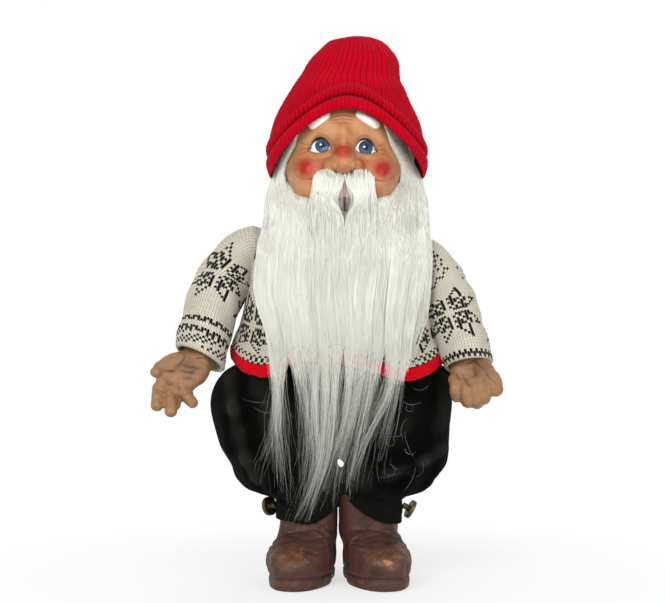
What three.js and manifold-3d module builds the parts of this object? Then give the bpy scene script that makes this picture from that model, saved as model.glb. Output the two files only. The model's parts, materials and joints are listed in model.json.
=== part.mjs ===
// A free-standing santa figurine: cast head, hands and boots, stuffed cloth body on a wooden frame.
// Millimetres, +Z up, the figure faces -Y. The origin is on the floor, under the middle of the figure.
import * as THREE from "three";
import { mergeVertices } from "three/addons/utils/BufferGeometryUtils.js";
import Module from "manifold-3d";

const wasm = await Module();
wasm.setup();

// Fits and walls
const clearance = 0.4;
const knitWall = 2.5;
const feltWall = 2;
const castWall = 5;

// Boots
const stance = 46.5;
const toeOut = 12;
const bootWidth = 49.6;
const toeReach = 60;
const heelReach = 27;
const soleThickness = 8.5;
const weltLip = 2;
const waistShare = 0.82;
const bootHeight = 66;
const shaftRadius = 20;
const cuffDrop = 6;
const cuffHeight = 17;
const cuffTop = bootHeight - cuffDrop;
const cuffBottom = cuffTop - cuffHeight;

// Wooden frame
const rodRadius = 5;
const rodSocketDepth = 42;
const blockDrop = 22;
const blockThickness = 18;
const blockWidth = 84;
const blockDepth = 34;
const barSection = 18;

// Trousers
const crotchRise = 36;
const puffRise = 30;
const waistRise = 46;
const crotchHeight = cuffTop + crotchRise;
const puffHeight = crotchHeight + puffRise;
const waistHeight = puffHeight + waistRise;
const blockTop = waistHeight - blockDrop;
const puffReach = 89;
const puffHalfDepth = 56;
const puffShift = -5;
const waistHalfWidth = 64;
const waistHalfDepth = 42;
const foldDepth = 1.8;

// Buttons at the cuffs
const buttonRadius = 7;
const buttonThickness = 3;
const shankRadius = 2.2;
const shankLength = 5;

// Sweater and torso
const hemTuck = 4;
const hemHeight = waistHeight - hemTuck;
const hemDropFront = 24;
const hemDropBack = 10;
const hemHalfWidth = 72;
const hemHalfDepth = 61;
const trimHeight = 9;
const trimWall = 3.2;
const chestHalfWidth = 61.5;
const chestHalfDepth = 47;
const torsoRise = 66;
const shoulderRise = 27;
const shoulderHeight = waistHeight + torsoRise;
const shoulderTop = shoulderHeight + shoulderRise;
const collarHeight = 5;

// Arms
const shoulderGap = 1.2;
const shoulderReach = { left: 15, right: 11 };
const armLength = 82;
const armPitch = 21;
const armSplay = { left: 16, right: 15.8 };
const sleeveShoulderRadius = 21.5;
const sleeveCuffRadius = 18.4;
const wireRadius = 1.5;
const armHoleRadius = 5.5;
const wireGrip = 17;
const stubFlangeRadius = 9.6;
const stubGrooveRadius = 7.6;
const stubLength = 14;
const tieThickness = 1.4;
const tieWidth = 3;

// Hands
const palmHalfWidth = 14.5;
const palmHalfDepth = 8;
const palmLength = 30;
const fingerRadius = 4.5;
const fingerLength = 25;
const fingerCurl = { left: 14, right: 62 };

// Head
const headRoll = 3.5;
const headHalfWidth = 43;
const headHalfDepth = 45;
const headHalfHeight = 45;
const headCentre = 52;
const neckRadius = 20;
const neckGroove = 2;
const neckLength = 26;

// Hair and beard
const hairThickness = 8;
const beardThickness = 9;
const beardTip = 62;
const beardHalfWidth = 60;
const moustacheHalfWidth = 17;
const moustacheRadius = 8.6;

// Hat
const hatHalfWidth = 58.5;
const hatHeight = 134;
const hatRimFront = 75;
const hatRimSide = 30;
const hatRimBack = 14;
const hatWall = 3.6;
const brimRoll = 3.4;
const brimHeight = 14;

const radians = THREE.MathUtils.degToRad;
const lerp = THREE.MathUtils.lerp;
const smooth = (x, from, to) => THREE.MathUtils.smoothstep(x, from, to);
const xAxis = new THREE.Vector3(1, 0, 0);
const yAxis = new THREE.Vector3(0, 1, 0);
const zAxis = new THREE.Vector3(0, 0, 1);
const point = (x, y, z) => new THREE.Vector3(x, y, z);

// Finishes, one for each kind of surface
const finish = (color, roughness, metalness = 0) =>
  new THREE.MeshStandardMaterial({ color, roughness, metalness });
const skinPaint = finish(0xc99a6b, 0.45);
const bootPaint = finish(0x53301f, 0.6);
const redKnit = finish(0xc80a1e, 0.95);
const creamKnit = finish(0xe6dfcb, 0.95);
const redFelt = finish(0xd80f1c, 0.95);
const blackFelt = finish(0x171817, 0.97);
const whiteFur = finish(0xefefea, 0.7);
const brass = finish(0x7d6a3c, 0.4, 0.9);
const paleWood = finish(0xcaa472, 0.7);
const steelWire = finish(0x8d9093, 0.35, 0.9);
const fibreFill = finish(0xefece4, 1);
const nylonTie = finish(0xd9d9d4, 0.5);

// Shape helpers

// A closed surface through rings of equally many points. A tube joins its last ring to its first;
// any other surface is closed at each end by a fan, or by a strip across a flat ring. Faces are
// turned outwards.
function loft(rings, ends = "fan") {
  const sides = rings[0].length;
  const positions = rings.flatMap((ring) => ring.flatMap((p) => p.toArray()));
  const index = [];
  const bands = ends === "tube" ? rings.length : rings.length - 1;
  for (let band = 0; band < bands; band++) {
    const next = (band + 1) % rings.length;
    for (let i = 0; i < sides; i++) {
      const j = (i + 1) % sides;
      index.push(band * sides + i, band * sides + j, next * sides + j);
      index.push(band * sides + i, next * sides + j, next * sides + i);
    }
  }
  const closeEnd = (end, corners) => index.push(...(end ? corners : corners.reverse()));
  for (const end of ends === "tube" ? [] : [0, rings.length - 1]) {
    const first = end * sides;
    if (ends === "strip") {
      for (let i = 0; i < sides / 2 - 1; i++) {
        const [p, q] = [first + i, first + sides - 1 - i];
        closeEnd(end, [p, p + 1, q - 1]);
        closeEnd(end, [p, q - 1, q]);
      }
    } else {
      const hub = positions.length / 3;
      const middle = rings[end].reduce((sum, p) => sum.add(p), point(0, 0, 0)).divideScalar(sides);
      positions.push(...middle.toArray());
      for (let i = 0; i < sides; i++) closeEnd(end, [hub, first + i, first + ((i + 1) % sides)]);
    }
  }
  return facingOut(positions, index);
}

function facingOut(positions, index) {
  let volume = 0;
  const corner = (i) => point(positions[3 * i], positions[3 * i + 1], positions[3 * i + 2]);
  for (let i = 0; i < index.length; i += 3) {
    volume += corner(index[i]).dot(corner(index[i + 1]).cross(corner(index[i + 2])));
  }
  if (volume < 0) index.reverse();
  return new THREE.BufferGeometry()
    .setAttribute("position", new THREE.Float32BufferAttribute(positions, 3))
    .setIndex(index);
}

// A closed slab between two surfaces of (u, v), both from 0 to 1.
function slab(front, back, columns, rows) {
  const across = [...Array(columns + 1).keys()].map((i) => i / columns);
  const down = [...Array(rows + 1).keys()].map((j) => j / rows);
  return loft(
    down.map((v) => [
      ...across.map((u) => front(u, v)),
      ...across.map((u) => back(1 - u, v)),
    ]),
    "strip",
  );
}

// A ring of points around a centre, with a half width, a half depth and a relief added outwards.
function oval(centre, across, along, halfWidth, halfDepth, sides, relief = () => 0) {
  return [...Array(sides).keys()].map((i) => {
    const angle = (2 * Math.PI * i) / sides;
    const swell = relief(angle);
    return centre
      .clone()
      .addScaledVector(across, (halfWidth + swell) * Math.cos(angle))
      .addScaledVector(along, (halfDepth + swell) * Math.sin(angle));
  });
}

const levelOval = (x, y, z, halfWidth, halfDepth, sides, relief) =>
  oval(point(x, y, z), xAxis, yAxis, halfWidth, halfDepth, sides, relief);

// Stations [position, value, value ...] read at any position, with a smooth curve through them.
function stations(table) {
  const curve = (column) => {
    const points = table.map((row) => new THREE.Vector2(row[0], row[column]));
    return (at) => {
      const above = points.findIndex((p) => p.x > at);
      const i = above < 0 ? points.length - 2 : Math.max(0, above - 1);
      const [p, q] = [points[i], points[i + 1]];
      const slope = (k) => {
        const a = points[Math.max(0, k - 1)];
        const b = points[Math.min(points.length - 1, k + 1)];
        return (b.y - a.y) / (b.x - a.x);
      };
      const span = q.x - p.x;
      const t = THREE.MathUtils.clamp((at - p.x) / span, 0, 1);
      const rise = t * t * (3 - 2 * t);
      return (
        lerp(p.y, q.y, rise) +
        span * (slope(i) * t * (1 - t) * (1 - t) - slope(i + 1) * t * t * (1 - t))
      );
    };
  };
  const columns = table[0].slice(1).map((_, column) => curve(column + 1));
  return (at) => columns.map((value) => value(at));
}

const steps = (from, to, count) =>
  [...Array(count + 1).keys()].map((i) => lerp(from, to, i / count));

function solid(geometry) {
  const bare = geometry.clone();
  bare.deleteAttribute("normal");
  bare.deleteAttribute("uv");
  const merged = mergeVertices(bare, 1e-4);
  return new wasm.Manifold(
    new wasm.Mesh({
      numProp: 3,
      vertProperties: new Float32Array(merged.attributes.position.array),
      triVerts: new Uint32Array(merged.index.array),
    }),
  );
}

function geometryOf(manifold) {
  const made = manifold.getMesh();
  return new THREE.BufferGeometry()
    .setAttribute("position", new THREE.BufferAttribute(made.vertProperties, 3))
    .setIndex(new THREE.BufferAttribute(made.triVerts, 1));
}

const join = (geometries) =>
  geometryOf(geometries.map(solid).reduce((sum, next) => sum.add(next)));

const cut = (geometry, ...tools) =>
  geometryOf(tools.map(solid).reduce((rest, tool) => rest.subtract(tool), solid(geometry)));

// The largest piece of what a cut leaves, without the slivers beside it.
const mainBody = (geometry) =>
  geometryOf(solid(geometry).decompose().reduce((a, b) => (a.volume() > b.volume() ? a : b)));

function part(parent, name, geometry, material) {
  const mesh = new THREE.Mesh(geometry, material);
  mesh.name = name;
  parent.add(mesh);
  return mesh;
}

// A round bar along Z from one height to another.
function post(radius, bottom, top, x = 0, y = 0, sides = 16) {
  return new THREE.CylinderGeometry(radius, radius, top - bottom, sides)
    .rotateX(Math.PI / 2)
    .translate(x, y, (bottom + top) / 2);
}

// A round bar along X, centred on the shoulder line.
function crossPost(radius, from, to, sides = 16) {
  return new THREE.CylinderGeometry(radius, radius, to - from, sides)
    .rotateZ(Math.PI / 2)
    .translate((from + to) / 2, 0, shoulderHeight);
}

const ringProfile = (inner, outer, bottom, top) =>
  [[inner, bottom], [outer, bottom], [outer, top], [inner, top], [inner, bottom]].map(
    ([r, z]) => new THREE.Vector2(r, z),
  );

const turned = (profile, sides = 24) => new THREE.LatheGeometry(profile, sides).rotateX(Math.PI / 2);

const figure = new THREE.Group();

// Boots: one casting each, with a moulded sole, a welt lip and a round toe
const legX = stance / 2;

function bootGeometry() {
  const half = bootWidth / 2;
  const upper = (cuffBottom - soleThickness) / 0.6;
  const level = (share) => soleThickness + share * upper;
  const shape = stations([
    [0, half - weltLip, toeReach - 3, heelReach - 2],
    [soleThickness - 1.5, half - 0.4, toeReach, heelReach],
    [soleThickness, half - 0.4, toeReach, heelReach],
    [level(0.03), half - weltLip, toeReach - 3.4, heelReach - 2.2],
    [level(0.14), half, toeReach - 0.6, heelReach - 1.5],
    [level(0.26), half - 0.6, lerp(toeReach, shaftRadius, 0.08), heelReach - 2.6],
    [level(0.36), half - 2.2, lerp(toeReach, shaftRadius, 0.34), heelReach - 4.2],
    [level(0.45), lerp(half, shaftRadius, 0.72), lerp(toeReach, shaftRadius, 0.72), shaftRadius + 2],
    [level(0.52), lerp(half, shaftRadius, 0.9), lerp(toeReach, shaftRadius, 0.93), shaftRadius + 1],
    [level(0.58), shaftRadius, shaftRadius, shaftRadius],
    [bootHeight, shaftRadius, shaftRadius, shaftRadius],
  ]);
  const heights = [
    0,
    soleThickness - 1.5,
    soleThickness,
    ...[0.03, 0.08, 0.14, 0.21, 0.27, 0.33, 0.39, 0.45, 0.51, 0.58].map(level),
    bootHeight,
  ];
  const sides = 18;
  const rings = heights.map((z) => {
    const [width, toe, heel] = shape(z);
    const shaft = smooth(z, level(0.3), level(0.58));
    const blunt = lerp(0.86, 1, shaft);
    return [...Array(sides).keys()].map((i) => {
      const angle = (2 * Math.PI * i) / sides;
      const [c, s] = [Math.cos(angle), Math.sin(angle)];
      const y = (s < 0 ? toe : heel) * Math.sign(s) * Math.abs(s) ** blunt;
      const narrow = lerp(lerp(waistShare, 1, shaft), 1, smooth(-y, 0, 0.45 * toeReach));
      return point(width * narrow * Math.sign(c) * Math.abs(c) ** blunt, y, z);
    });
  });
  const socket = post(rodRadius + clearance, bootHeight - rodSocketDepth, bootHeight + 1);
  return cut(loft(rings), socket);
}

for (const [name, side] of [["left", -1], ["right", 1]]) {
  const boot = part(figure, `boot_${name}`, bootGeometry(), bootPaint);
  boot.position.x = side * legX;
  boot.rotation.z = side * radians(toeOut);
}

// Wooden frame: two leg rods, a hip block, a spine rod and a shoulder bar
const rodBottom = bootHeight - rodSocketDepth + clearance;
const blockBottom = blockTop - blockThickness;
const headPivot = shoulderTop;
const spineTop = headPivot + neckLength + headCentre - 30;

for (const [name, side] of [["left", -1], ["right", 1]]) {
  part(figure, `leg_rod_${name}`, post(rodRadius, rodBottom, blockTop, side * legX), paleWood);
}

function hipBlock(width, depth, bottom, top, holes) {
  const corner = 6;
  const outline = new THREE.Shape();
  const [w, d] = [width / 2, depth / 2];
  outline.absarc(w - corner, -d + corner, corner, -Math.PI / 2, 0);
  outline.absarc(w - corner, d - corner, corner, 0, Math.PI / 2);
  outline.absarc(-w + corner, d - corner, corner, Math.PI / 2, Math.PI);
  outline.absarc(-w + corner, -d + corner, corner, Math.PI, 1.5 * Math.PI);
  for (const x of holes) {
    outline.holes.push(new THREE.Path().absarc(x, 0, rodRadius + clearance, 0, 2 * Math.PI, true));
  }
  return new THREE.ExtrudeGeometry(outline, {
    depth: top - bottom,
    bevelEnabled: false,
    curveSegments: 6,
  }).translate(0, 0, bottom);
}

part(
  figure,
  "hip_block",
  hipBlock(blockWidth, blockDepth, blockBottom, blockTop, [-legX, 0, legX]),
  paleWood,
);
part(figure, "spine_rod", post(rodRadius, blockBottom, spineTop), paleWood);

const barHalfLength = chestHalfWidth - knitWall - 0.5 * barSection;
const barBlank = (grow) =>
  new THREE.BoxGeometry(2 * barHalfLength + 2 * grow, barSection + 2 * grow, barSection + 2 * grow)
    .translate(0, 0, shoulderHeight);
part(
  figure,
  "shoulder_bar",
  cut(
    barBlank(0),
    post(rodRadius + clearance, shoulderHeight - barSection, shoulderHeight + barSection),
    crossPost(wireRadius + clearance, -barHalfLength - 1, -barHalfLength + wireGrip + clearance, 12),
    crossPost(wireRadius + clearance, barHalfLength - wireGrip - clearance, barHalfLength + 1, 12),
  ),
  paleWood,
);

// Trousers: two puffed felt legs that join above the crotch, gathered into a cuff below
const cuffInner = shaftRadius + clearance;
const cuffRadius = cuffInner + feltWall;
const trouserShift = (z) =>
  puffShift * smooth(z, cuffTop, puffHeight) * (1 - smooth(z, puffHeight, waistHeight));

// Each leg by its height: how far its inner and outer edges lie from the middle, and its half depth.
const swell = (rise, inner, width, depth) => [
  lerp(cuffTop, puffHeight, rise),
  inner,
  lerp(2 * legX, puffReach, width),
  lerp(cuffRadius, puffHalfDepth, depth),
];
const legShape = stations([
  [cuffTop - 5, 0.6, 2 * legX + 0.8, cuffRadius - 0.4],
  [cuffTop, 0.6, 2 * legX + 1.8, cuffRadius],
  swell(0.07, 0.6, 0.42, 0.3),
  swell(0.18, 0.5, 0.6, 0.55),
  swell(0.36, 0.4, 0.76, 0.8),
  [crotchHeight, 0, lerp(2 * legX, puffReach, 0.91), puffHalfDepth - 3],
  [puffHeight, -7, puffReach, puffHalfDepth],
  [lerp(puffHeight, waistHeight, 0.35), -12, puffReach - 4, puffHalfDepth - 2.5],
  [waistHeight - 14, -16, waistHalfWidth + 4, waistHalfDepth + 2.5],
  [waistHeight, -18, waistHalfWidth, waistHalfDepth],
]);

const legHeights = [...steps(cuffTop, cuffTop + 11, 3), ...steps(cuffTop + 20, waistHeight, 6)];

// One leg, smaller by an inset all round; an overrun at both ends makes it cut clean through.
function puffLeg(side, inset, overrun, sides) {
  const ends = [legHeights[0] - overrun, legHeights[legHeights.length - 1] + overrun];
  const heights = overrun ? [ends[0], ...legHeights, ends[1]] : legHeights;
  const rings = heights.map((height) => {
    const [inner, outer, halfDepth] = legShape(THREE.MathUtils.clamp(height, cuffTop, waistHeight));
    const x = side * (inner + outer) / 2 + trouserShift(height);
    const fade =
      smooth(height, cuffTop - 1, cuffTop + 14) * (1 - smooth(height, puffHeight + 10, waistHeight - 20));
    const folds = (angle) => foldDepth * fade * Math.sin(6 * angle + side * 0.05 * height) - inset;
    return levelOval(x, 0, height, (outer - inner) / 2, halfDepth, sides, folds);
  });
  return loft(rings);
}

const trouserForm = (inset, overrun, sides = 24) =>
  join([-1, 1].map((side) => puffLeg(side, inset, overrun, sides)));
part(figure, "trousers", cut(trouserForm(0, 0), trouserForm(feltWall, 4)), blackFelt);

const fillGap = feltWall + clearance;
const legHoles = [-legX, legX].flatMap((x) => [
  post(rodRadius + clearance, cuffBottom, blockBottom + 1, x),
  post(shaftRadius + 1, cuffBottom, bootHeight + clearance, x, 0, 20),
]);
part(
  figure,
  "hip_stuffing",
  cut(
    trouserForm(fillGap + foldDepth, 0, 14),
    ...legHoles,
    hipBlock(
      blockWidth + 2 * clearance,
      blockDepth + 2 * clearance,
      blockBottom - clearance,
      blockTop + clearance,
      [],
    ),
    post(rodRadius + clearance, blockTop, waistHeight + 5),
  ),
  fibreFill,
);

for (const [name, side] of [["left", -1], ["right", 1]]) {
  const cuff = turned(ringProfile(cuffInner, cuffRadius, cuffBottom, cuffTop - clearance), 24);
  part(figure, `cuff_${name}`, cuff, blackFelt).position.x = side * legX;
}

// Shank buttons, sewn to the outside of each cuff
const buttonProfile = [
  [0, 0],
  [shankRadius, 0],
  [shankRadius, shankLength],
  [buttonRadius - 0.8, shankLength],
  [buttonRadius, shankLength + 0.8],
  [buttonRadius - 0.6, shankLength + 0.6 * buttonThickness],
  [0.6 * buttonRadius, shankLength + 0.9 * buttonThickness],
  [0, shankLength + buttonThickness],
].map(([r, z]) => new THREE.Vector2(r, z));

for (const [name, side, droop] of [["left", -1, 12], ["right", 1, 30]]) {
  const seat = new THREE.Group();
  const dip = shankRadius * Math.sin(radians(droop));
  seat.position.set(side * (legX + cuffRadius + clearance + dip), 0, cuffTop - 6);
  seat.rotation.y = side * radians(90 + droop);
  figure.add(seat);
  part(seat, `button_${name}`, turned(buttonProfile, 16), brass);
}

// Sweater: one knitted tube from the hem, over the shoulders, to the collar
const collarRadius = neckRadius - neckGroove + clearance + knitWall;
const chestAt = 0.46;
const torsoSides = 28;

function torsoSize(share) {
  const bulge = Math.max(0, 1 - share / chestAt) ** 1.4;
  const round = Math.max(0, (share - chestAt) / (1 - chestAt));
  const shoulder = Math.sqrt(Math.max(0, 1 - round ** 3.6));
  return [
    lerp(collarRadius, lerp(chestHalfWidth, hemHalfWidth, bulge), shoulder),
    lerp(collarRadius, lerp(chestHalfDepth, hemHalfDepth, bulge), shoulder),
  ];
}

function hemDrop(angle) {
  const front = Math.max(0, -Math.sin(angle));
  const back = Math.max(0, Math.sin(angle));
  return hemDropFront * front ** 1.5 + hemDropBack * back ** 1.5;
}

// One ring of the torso, a share of the way from the hem to the shoulders, dropped like the hem.
function torsoRing(share, grow, lift = 0) {
  const [halfWidth, halfDepth] = torsoSize(share);
  const z = lerp(hemHeight, shoulderTop, share) + lift;
  const follow = 1 - smooth(share, 0, 0.55);
  const full = lerp(0.88, 1, smooth(share, 0.3, 0.9));
  return [...Array(torsoSides).keys()].map((i) => {
    const angle = (2 * Math.PI * i) / torsoSides;
    const [c, s] = [Math.cos(angle), Math.sin(angle)];
    return point(
      (halfWidth + grow) * Math.sign(c) * Math.abs(c) ** full,
      (halfDepth + grow) * Math.sign(s) * Math.abs(s) ** full,
      z - follow * hemDrop(angle),
    );
  });
}

// How much lower the inside lies where the shoulders turn level.
const sink = (share) => 0.6 * knitWall * smooth(share, chestAt, 1);
const torsoShares = [0, 0.15, 0.32, 0.48, 0.62, 0.76, 0.86, 0.93, 0.98, 1];
const collarRing = (grow) =>
  levelOval(0, 0, shoulderTop + collarHeight, collarRadius + grow, collarRadius + grow, torsoSides);
const sweaterTube = loft(
  [
    ...torsoShares.map((share) => torsoRing(share, 0, share ? 0 : trimHeight + clearance)),
    collarRing(0),
    collarRing(-knitWall),
    ...torsoShares
      .map((share) => torsoRing(share, -knitWall, share ? -sink(share) : trimHeight + clearance))
      .reverse(),
  ],
  "tube",
);
const armHole = crossPost(armHoleRadius, -2 * chestHalfWidth, 2 * chestHalfWidth, 16);
part(figure, "sweater_body", cut(sweaterTube, armHole), creamKnit);

const trimRing = (grow, lift) => torsoRing(0, grow, lift);
part(
  figure,
  "hem_trim",
  loft(
    [
      trimRing(trimWall - knitWall, 0),
      trimRing(trimWall - knitWall, trimHeight),
      trimRing(-knitWall, trimHeight),
      trimRing(-knitWall, 0),
    ],
    "tube",
  ),
  redFelt,
);

// Stuffed torso on the wooden frame
const torsoFloor = waistHeight + clearance;
const torsoInset = knitWall + clearance;
const torsoForm = loft(
  torsoShares
    .filter((share) => share < 0.95)
    .map((share) => torsoRing(share, -torsoInset, -torsoInset * smooth(share, chestAt, 1))),
);
const aboveFloor = new THREE.BoxGeometry(4 * hemHalfWidth, 4 * hemHalfDepth, shoulderTop)
  .translate(0, 0, torsoFloor + shoulderTop / 2);
const torsoFill = geometryOf(solid(torsoForm).intersect(solid(aboveFloor)));
part(
  figure,
  "torso_stuffing",
  cut(
    torsoFill,
    barBlank(clearance),
    post(rodRadius + clearance, torsoFloor - 1, shoulderTop + 1),
    crossPost(armHoleRadius, -2 * chestHalfWidth, -barHalfLength, 16),
    crossPost(armHoleRadius, barHalfLength, 2 * chestHalfWidth, 16),
  ),
  fibreFill,
);

const tieBottom = shoulderTop + 1.2;
part(
  figure,
  "neck_tie",
  turned(
    ringProfile(
      collarRadius + clearance,
      collarRadius + clearance + tieThickness,
      tieBottom,
      tieBottom + tieWidth,
    ),
    20,
  ),
  nylonTie,
);

// Arms: sleeve, stuffing, wire and wrist tie swing together on the shoulder bar
function armFrame(side, splay, shoulderOut) {
  const shoulder = point(side * (chestHalfWidth + shoulderGap), 0, shoulderHeight);
  const [s, p] = [radians(splay), radians(armPitch)];
  const down = point(side * Math.sin(s) * Math.cos(p), -Math.sin(p), -Math.cos(s) * Math.cos(p));
  const bend = shoulder.clone().addScaledVector(xAxis, side * shoulderOut);
  const wrist = bend.clone().addScaledVector(down, armLength);
  const forearm = wrist.clone().addScaledVector(down, -0.45 * armLength);
  const path = new THREE.CurvePath();
  path.add(
    new THREE.CubicBezierCurve3(
      shoulder,
      shoulder.clone().addScaledVector(xAxis, side * 0.9 * shoulderOut),
      forearm.clone().addScaledVector(down, -0.3 * armLength),
      forearm,
    ),
  );
  path.add(new THREE.LineCurve3(forearm, wrist));
  return { shoulder, outward: point(side, 0, 0), wrist, down, path };
}

// A ring of the arm, a share of the way from the shoulder to the cuff. It leans from the flat
// shoulder towards the forearm only as far as the body's side lets it.
function armRing(arm, share, radius, sides = 16) {
  const centre = arm.path.getPointAt(share);
  const reach = Math.abs(centre.x - arm.shoulder.x) / (sleeveRadius(share)[0] + 0.5);
  const lean = Math.min(arm.outward.angleTo(arm.down), Math.asin(Math.min(1, reach)));
  const hinge = arm.outward.clone().cross(arm.down).normalize();
  const along = arm.outward.clone().applyAxisAngle(hinge, lean);
  const across = yAxis.clone().addScaledVector(along, -yAxis.dot(along)).normalize();
  return oval(centre, across, along.clone().cross(across), radius, radius, sides);
}

const sleeveRadius = stations([
  [0, sleeveShoulderRadius],
  [0.3, lerp(sleeveShoulderRadius, sleeveCuffRadius, 0.12)],
  [0.62, lerp(sleeveShoulderRadius, sleeveCuffRadius, 0.55)],
  [1, sleeveCuffRadius],
]);

function sleeveGeometry(arm) {
  const shares = steps(0, 1, 8);
  return loft(
    [
      ...shares.map((share) => armRing(arm, share, sleeveRadius(share)[0])),
      ...shares.map((share) => armRing(arm, share, sleeveRadius(share)[0] - knitWall)).reverse(),
    ],
    "tube",
  );
}

function armStuffing(arm) {
  const length = arm.path.getLength();
  const shareBack = (distance) => 1 - distance / length;
  const stubTop = shareBack(stubLength + clearance);
  const lip = shareBack(stubLength - tieWidth - 2.6);
  const end = shareBack(3);
  const wall = 1.4;
  const outer = (share) => sleeveRadius(share)[0] - knitWall - 3 * clearance;
  const cupOuter = stubFlangeRadius + clearance + wall;
  const lipInner = stubGrooveRadius + clearance;
  const channel = wireRadius + 3 * clearance;
  const outside = [
    ...steps(0, stubTop - 0.06, 5).map((share) => [share, outer(share)]),
    [stubTop - 0.02, Math.min(outer(stubTop), cupOuter + 0.6)],
    [lip, cupOuter],
    [lip + 0.02, lipInner + wall],
    [end, lipInner + wall],
  ];
  const inside = [
    [end, lipInner],
    [lip + 0.02, lipInner],
    [lip, stubFlangeRadius + clearance],
    [stubTop, stubFlangeRadius + clearance],
    [stubTop - 0.001, channel],
    ...steps(stubTop - 0.06, 0, 5).map((share) => [share, channel]),
  ];
  return loft([...outside, ...inside].map(([share, radius]) => armRing(arm, share, radius, 12)), "tube");
}

function wireGeometry(arm) {
  const start = arm.shoulder.clone();
  start.x = Math.sign(start.x) * (barHalfLength - wireGrip);
  const end = arm.wrist.clone().addScaledVector(arm.down, -stubLength + 9);
  const bends = steps(0.12, 0.86, 7).map((share) => arm.path.getPointAt(share));
  const centres = [start, arm.shoulder.clone(), ...bends, end];
  const last = centres.length - 1;
  return loft(
    centres.map((centre, i) => {
      const along = centres[Math.min(i + 1, last)].clone().sub(centres[Math.max(i - 1, 0)]).normalize();
      const across = yAxis.clone().addScaledVector(along, -yAxis.dot(along)).normalize();
      return oval(centre, across, along.clone().cross(across), wireRadius, wireRadius, 6);
    }),
  );
}

// A tapering limb with a round tip, through points with a radius at each.
function taperedLimb(points, radii, sides = 7) {
  const curve = new THREE.CatmullRomCurve3(points);
  const count = 2 * (points.length - 1);
  const radius = stations(radii.map((r, i) => [i / (radii.length - 1), r]));
  const rings = steps(0, 1, count).map((share) => {
    const along = curve.getTangent(share);
    const pick = Math.abs(along.x) < 0.8 ? xAxis : yAxis;
    const across = pick.clone().addScaledVector(along, -pick.dot(along)).normalize();
    const r = radius(share)[0];
    return oval(curve.getPoint(share), across, along.clone().cross(across), r, r, sides);
  });
  const tip = curve.getPoint(1);
  const tipAlong = curve.getTangent(1);
  const tipRadius = radii[radii.length - 1];
  const pick = Math.abs(tipAlong.x) < 0.8 ? xAxis : yAxis;
  const tipAcross = pick.clone().addScaledVector(tipAlong, -pick.dot(tipAlong)).normalize();
  for (const turn of [35, 65]) {
    const r = tipRadius * Math.cos(radians(turn));
    rings.push(
      oval(
        tip.clone().addScaledVector(tipAlong, tipRadius * Math.sin(radians(turn))),
        tipAcross,
        tipAlong.clone().cross(tipAcross),
        r,
        r,
        sides,
      ),
    );
  }
  return loft(rings);
}

// A finger of three joints that all bend by the same angle towards the palm.
function finger(root, spread, curl, length, radius) {
  const points = [root.clone().add(point(0, 0, 6)), root.clone()];
  let bend = 0.35 * curl;
  for (const share of [0.42, 0.32, 0.26]) {
    const tip = points[points.length - 1].clone();
    const reach = length * share;
    tip.x += reach * Math.sin(radians(spread)) * Math.cos(radians(bend));
    tip.y -= reach * Math.sin(radians(bend));
    tip.z -= reach * Math.cos(radians(bend)) * Math.cos(radians(spread));
    points.push(tip);
    bend += curl;
  }
  return taperedLimb(points, [radius, radius * 1.04, radius, radius * 0.92, radius * 0.78]);
}

function handGeometry(side, curl) {
  const stub = turned(
    [
      [0, -5],
      [stubFlangeRadius + 1.4, -5],
      [stubFlangeRadius + 0.6, 2],
      [stubGrooveRadius, 3],
      [stubGrooveRadius, stubLength - tieWidth - 3],
      [stubFlangeRadius, stubLength - tieWidth - 2],
      [stubFlangeRadius, stubLength],
      [0, stubLength],
    ].map(([r, z]) => new THREE.Vector2(r, z)),
    14,
  );
  const wrist = stubFlangeRadius + 1.4;
  const palmShape = stations([
    [0, wrist, wrist - 1.6],
    [0.35, palmHalfWidth - 0.6, palmHalfDepth + 0.6],
    [0.75, palmHalfWidth, palmHalfDepth],
    [1, palmHalfWidth - 2.5, palmHalfDepth - 2.2],
  ]);
  const palm = loft(
    steps(0, 1, 5).map((share) => {
      const [halfWidth, halfDepth] = palmShape(share);
      return levelOval(0, -1.5 * share, -palmLength * share, halfWidth, halfDepth, 12);
    }),
  );
  const pitch = (2 * palmHalfWidth - 2 * fingerRadius) / 3;
  const fingers = [0, 1, 2, 3].map((i) =>
    finger(
      point(side * (palmHalfWidth - fingerRadius - i * pitch), -1.5, -palmLength + 2),
      side * (9 - 7 * i),
      curl,
      fingerLength * [0.92, 1, 0.95, 0.8][i],
      fingerRadius * [1, 1.02, 1, 0.9][i],
    ),
  );
  const thumb = taperedLimb(
    [
      point(side * 0.35 * palmHalfWidth, -2, -0.18 * palmLength),
      point(side * 0.98 * palmHalfWidth, -5, -0.5 * palmLength),
      point(side * 1.3 * palmHalfWidth, -8, -0.82 * palmLength),
      point(side * 1.42 * palmHalfWidth, -11, -1.1 * palmLength),
    ],
    [fingerRadius + 2.4, fingerRadius + 1.6, fingerRadius + 0.5, fingerRadius - 0.6],
  );
  const wireHole = post(wireRadius + clearance, -7, stubLength + 1, 0, 0, 8);
  return cut(join([stub, palm, thumb, ...fingers]), wireHole);
}

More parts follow.
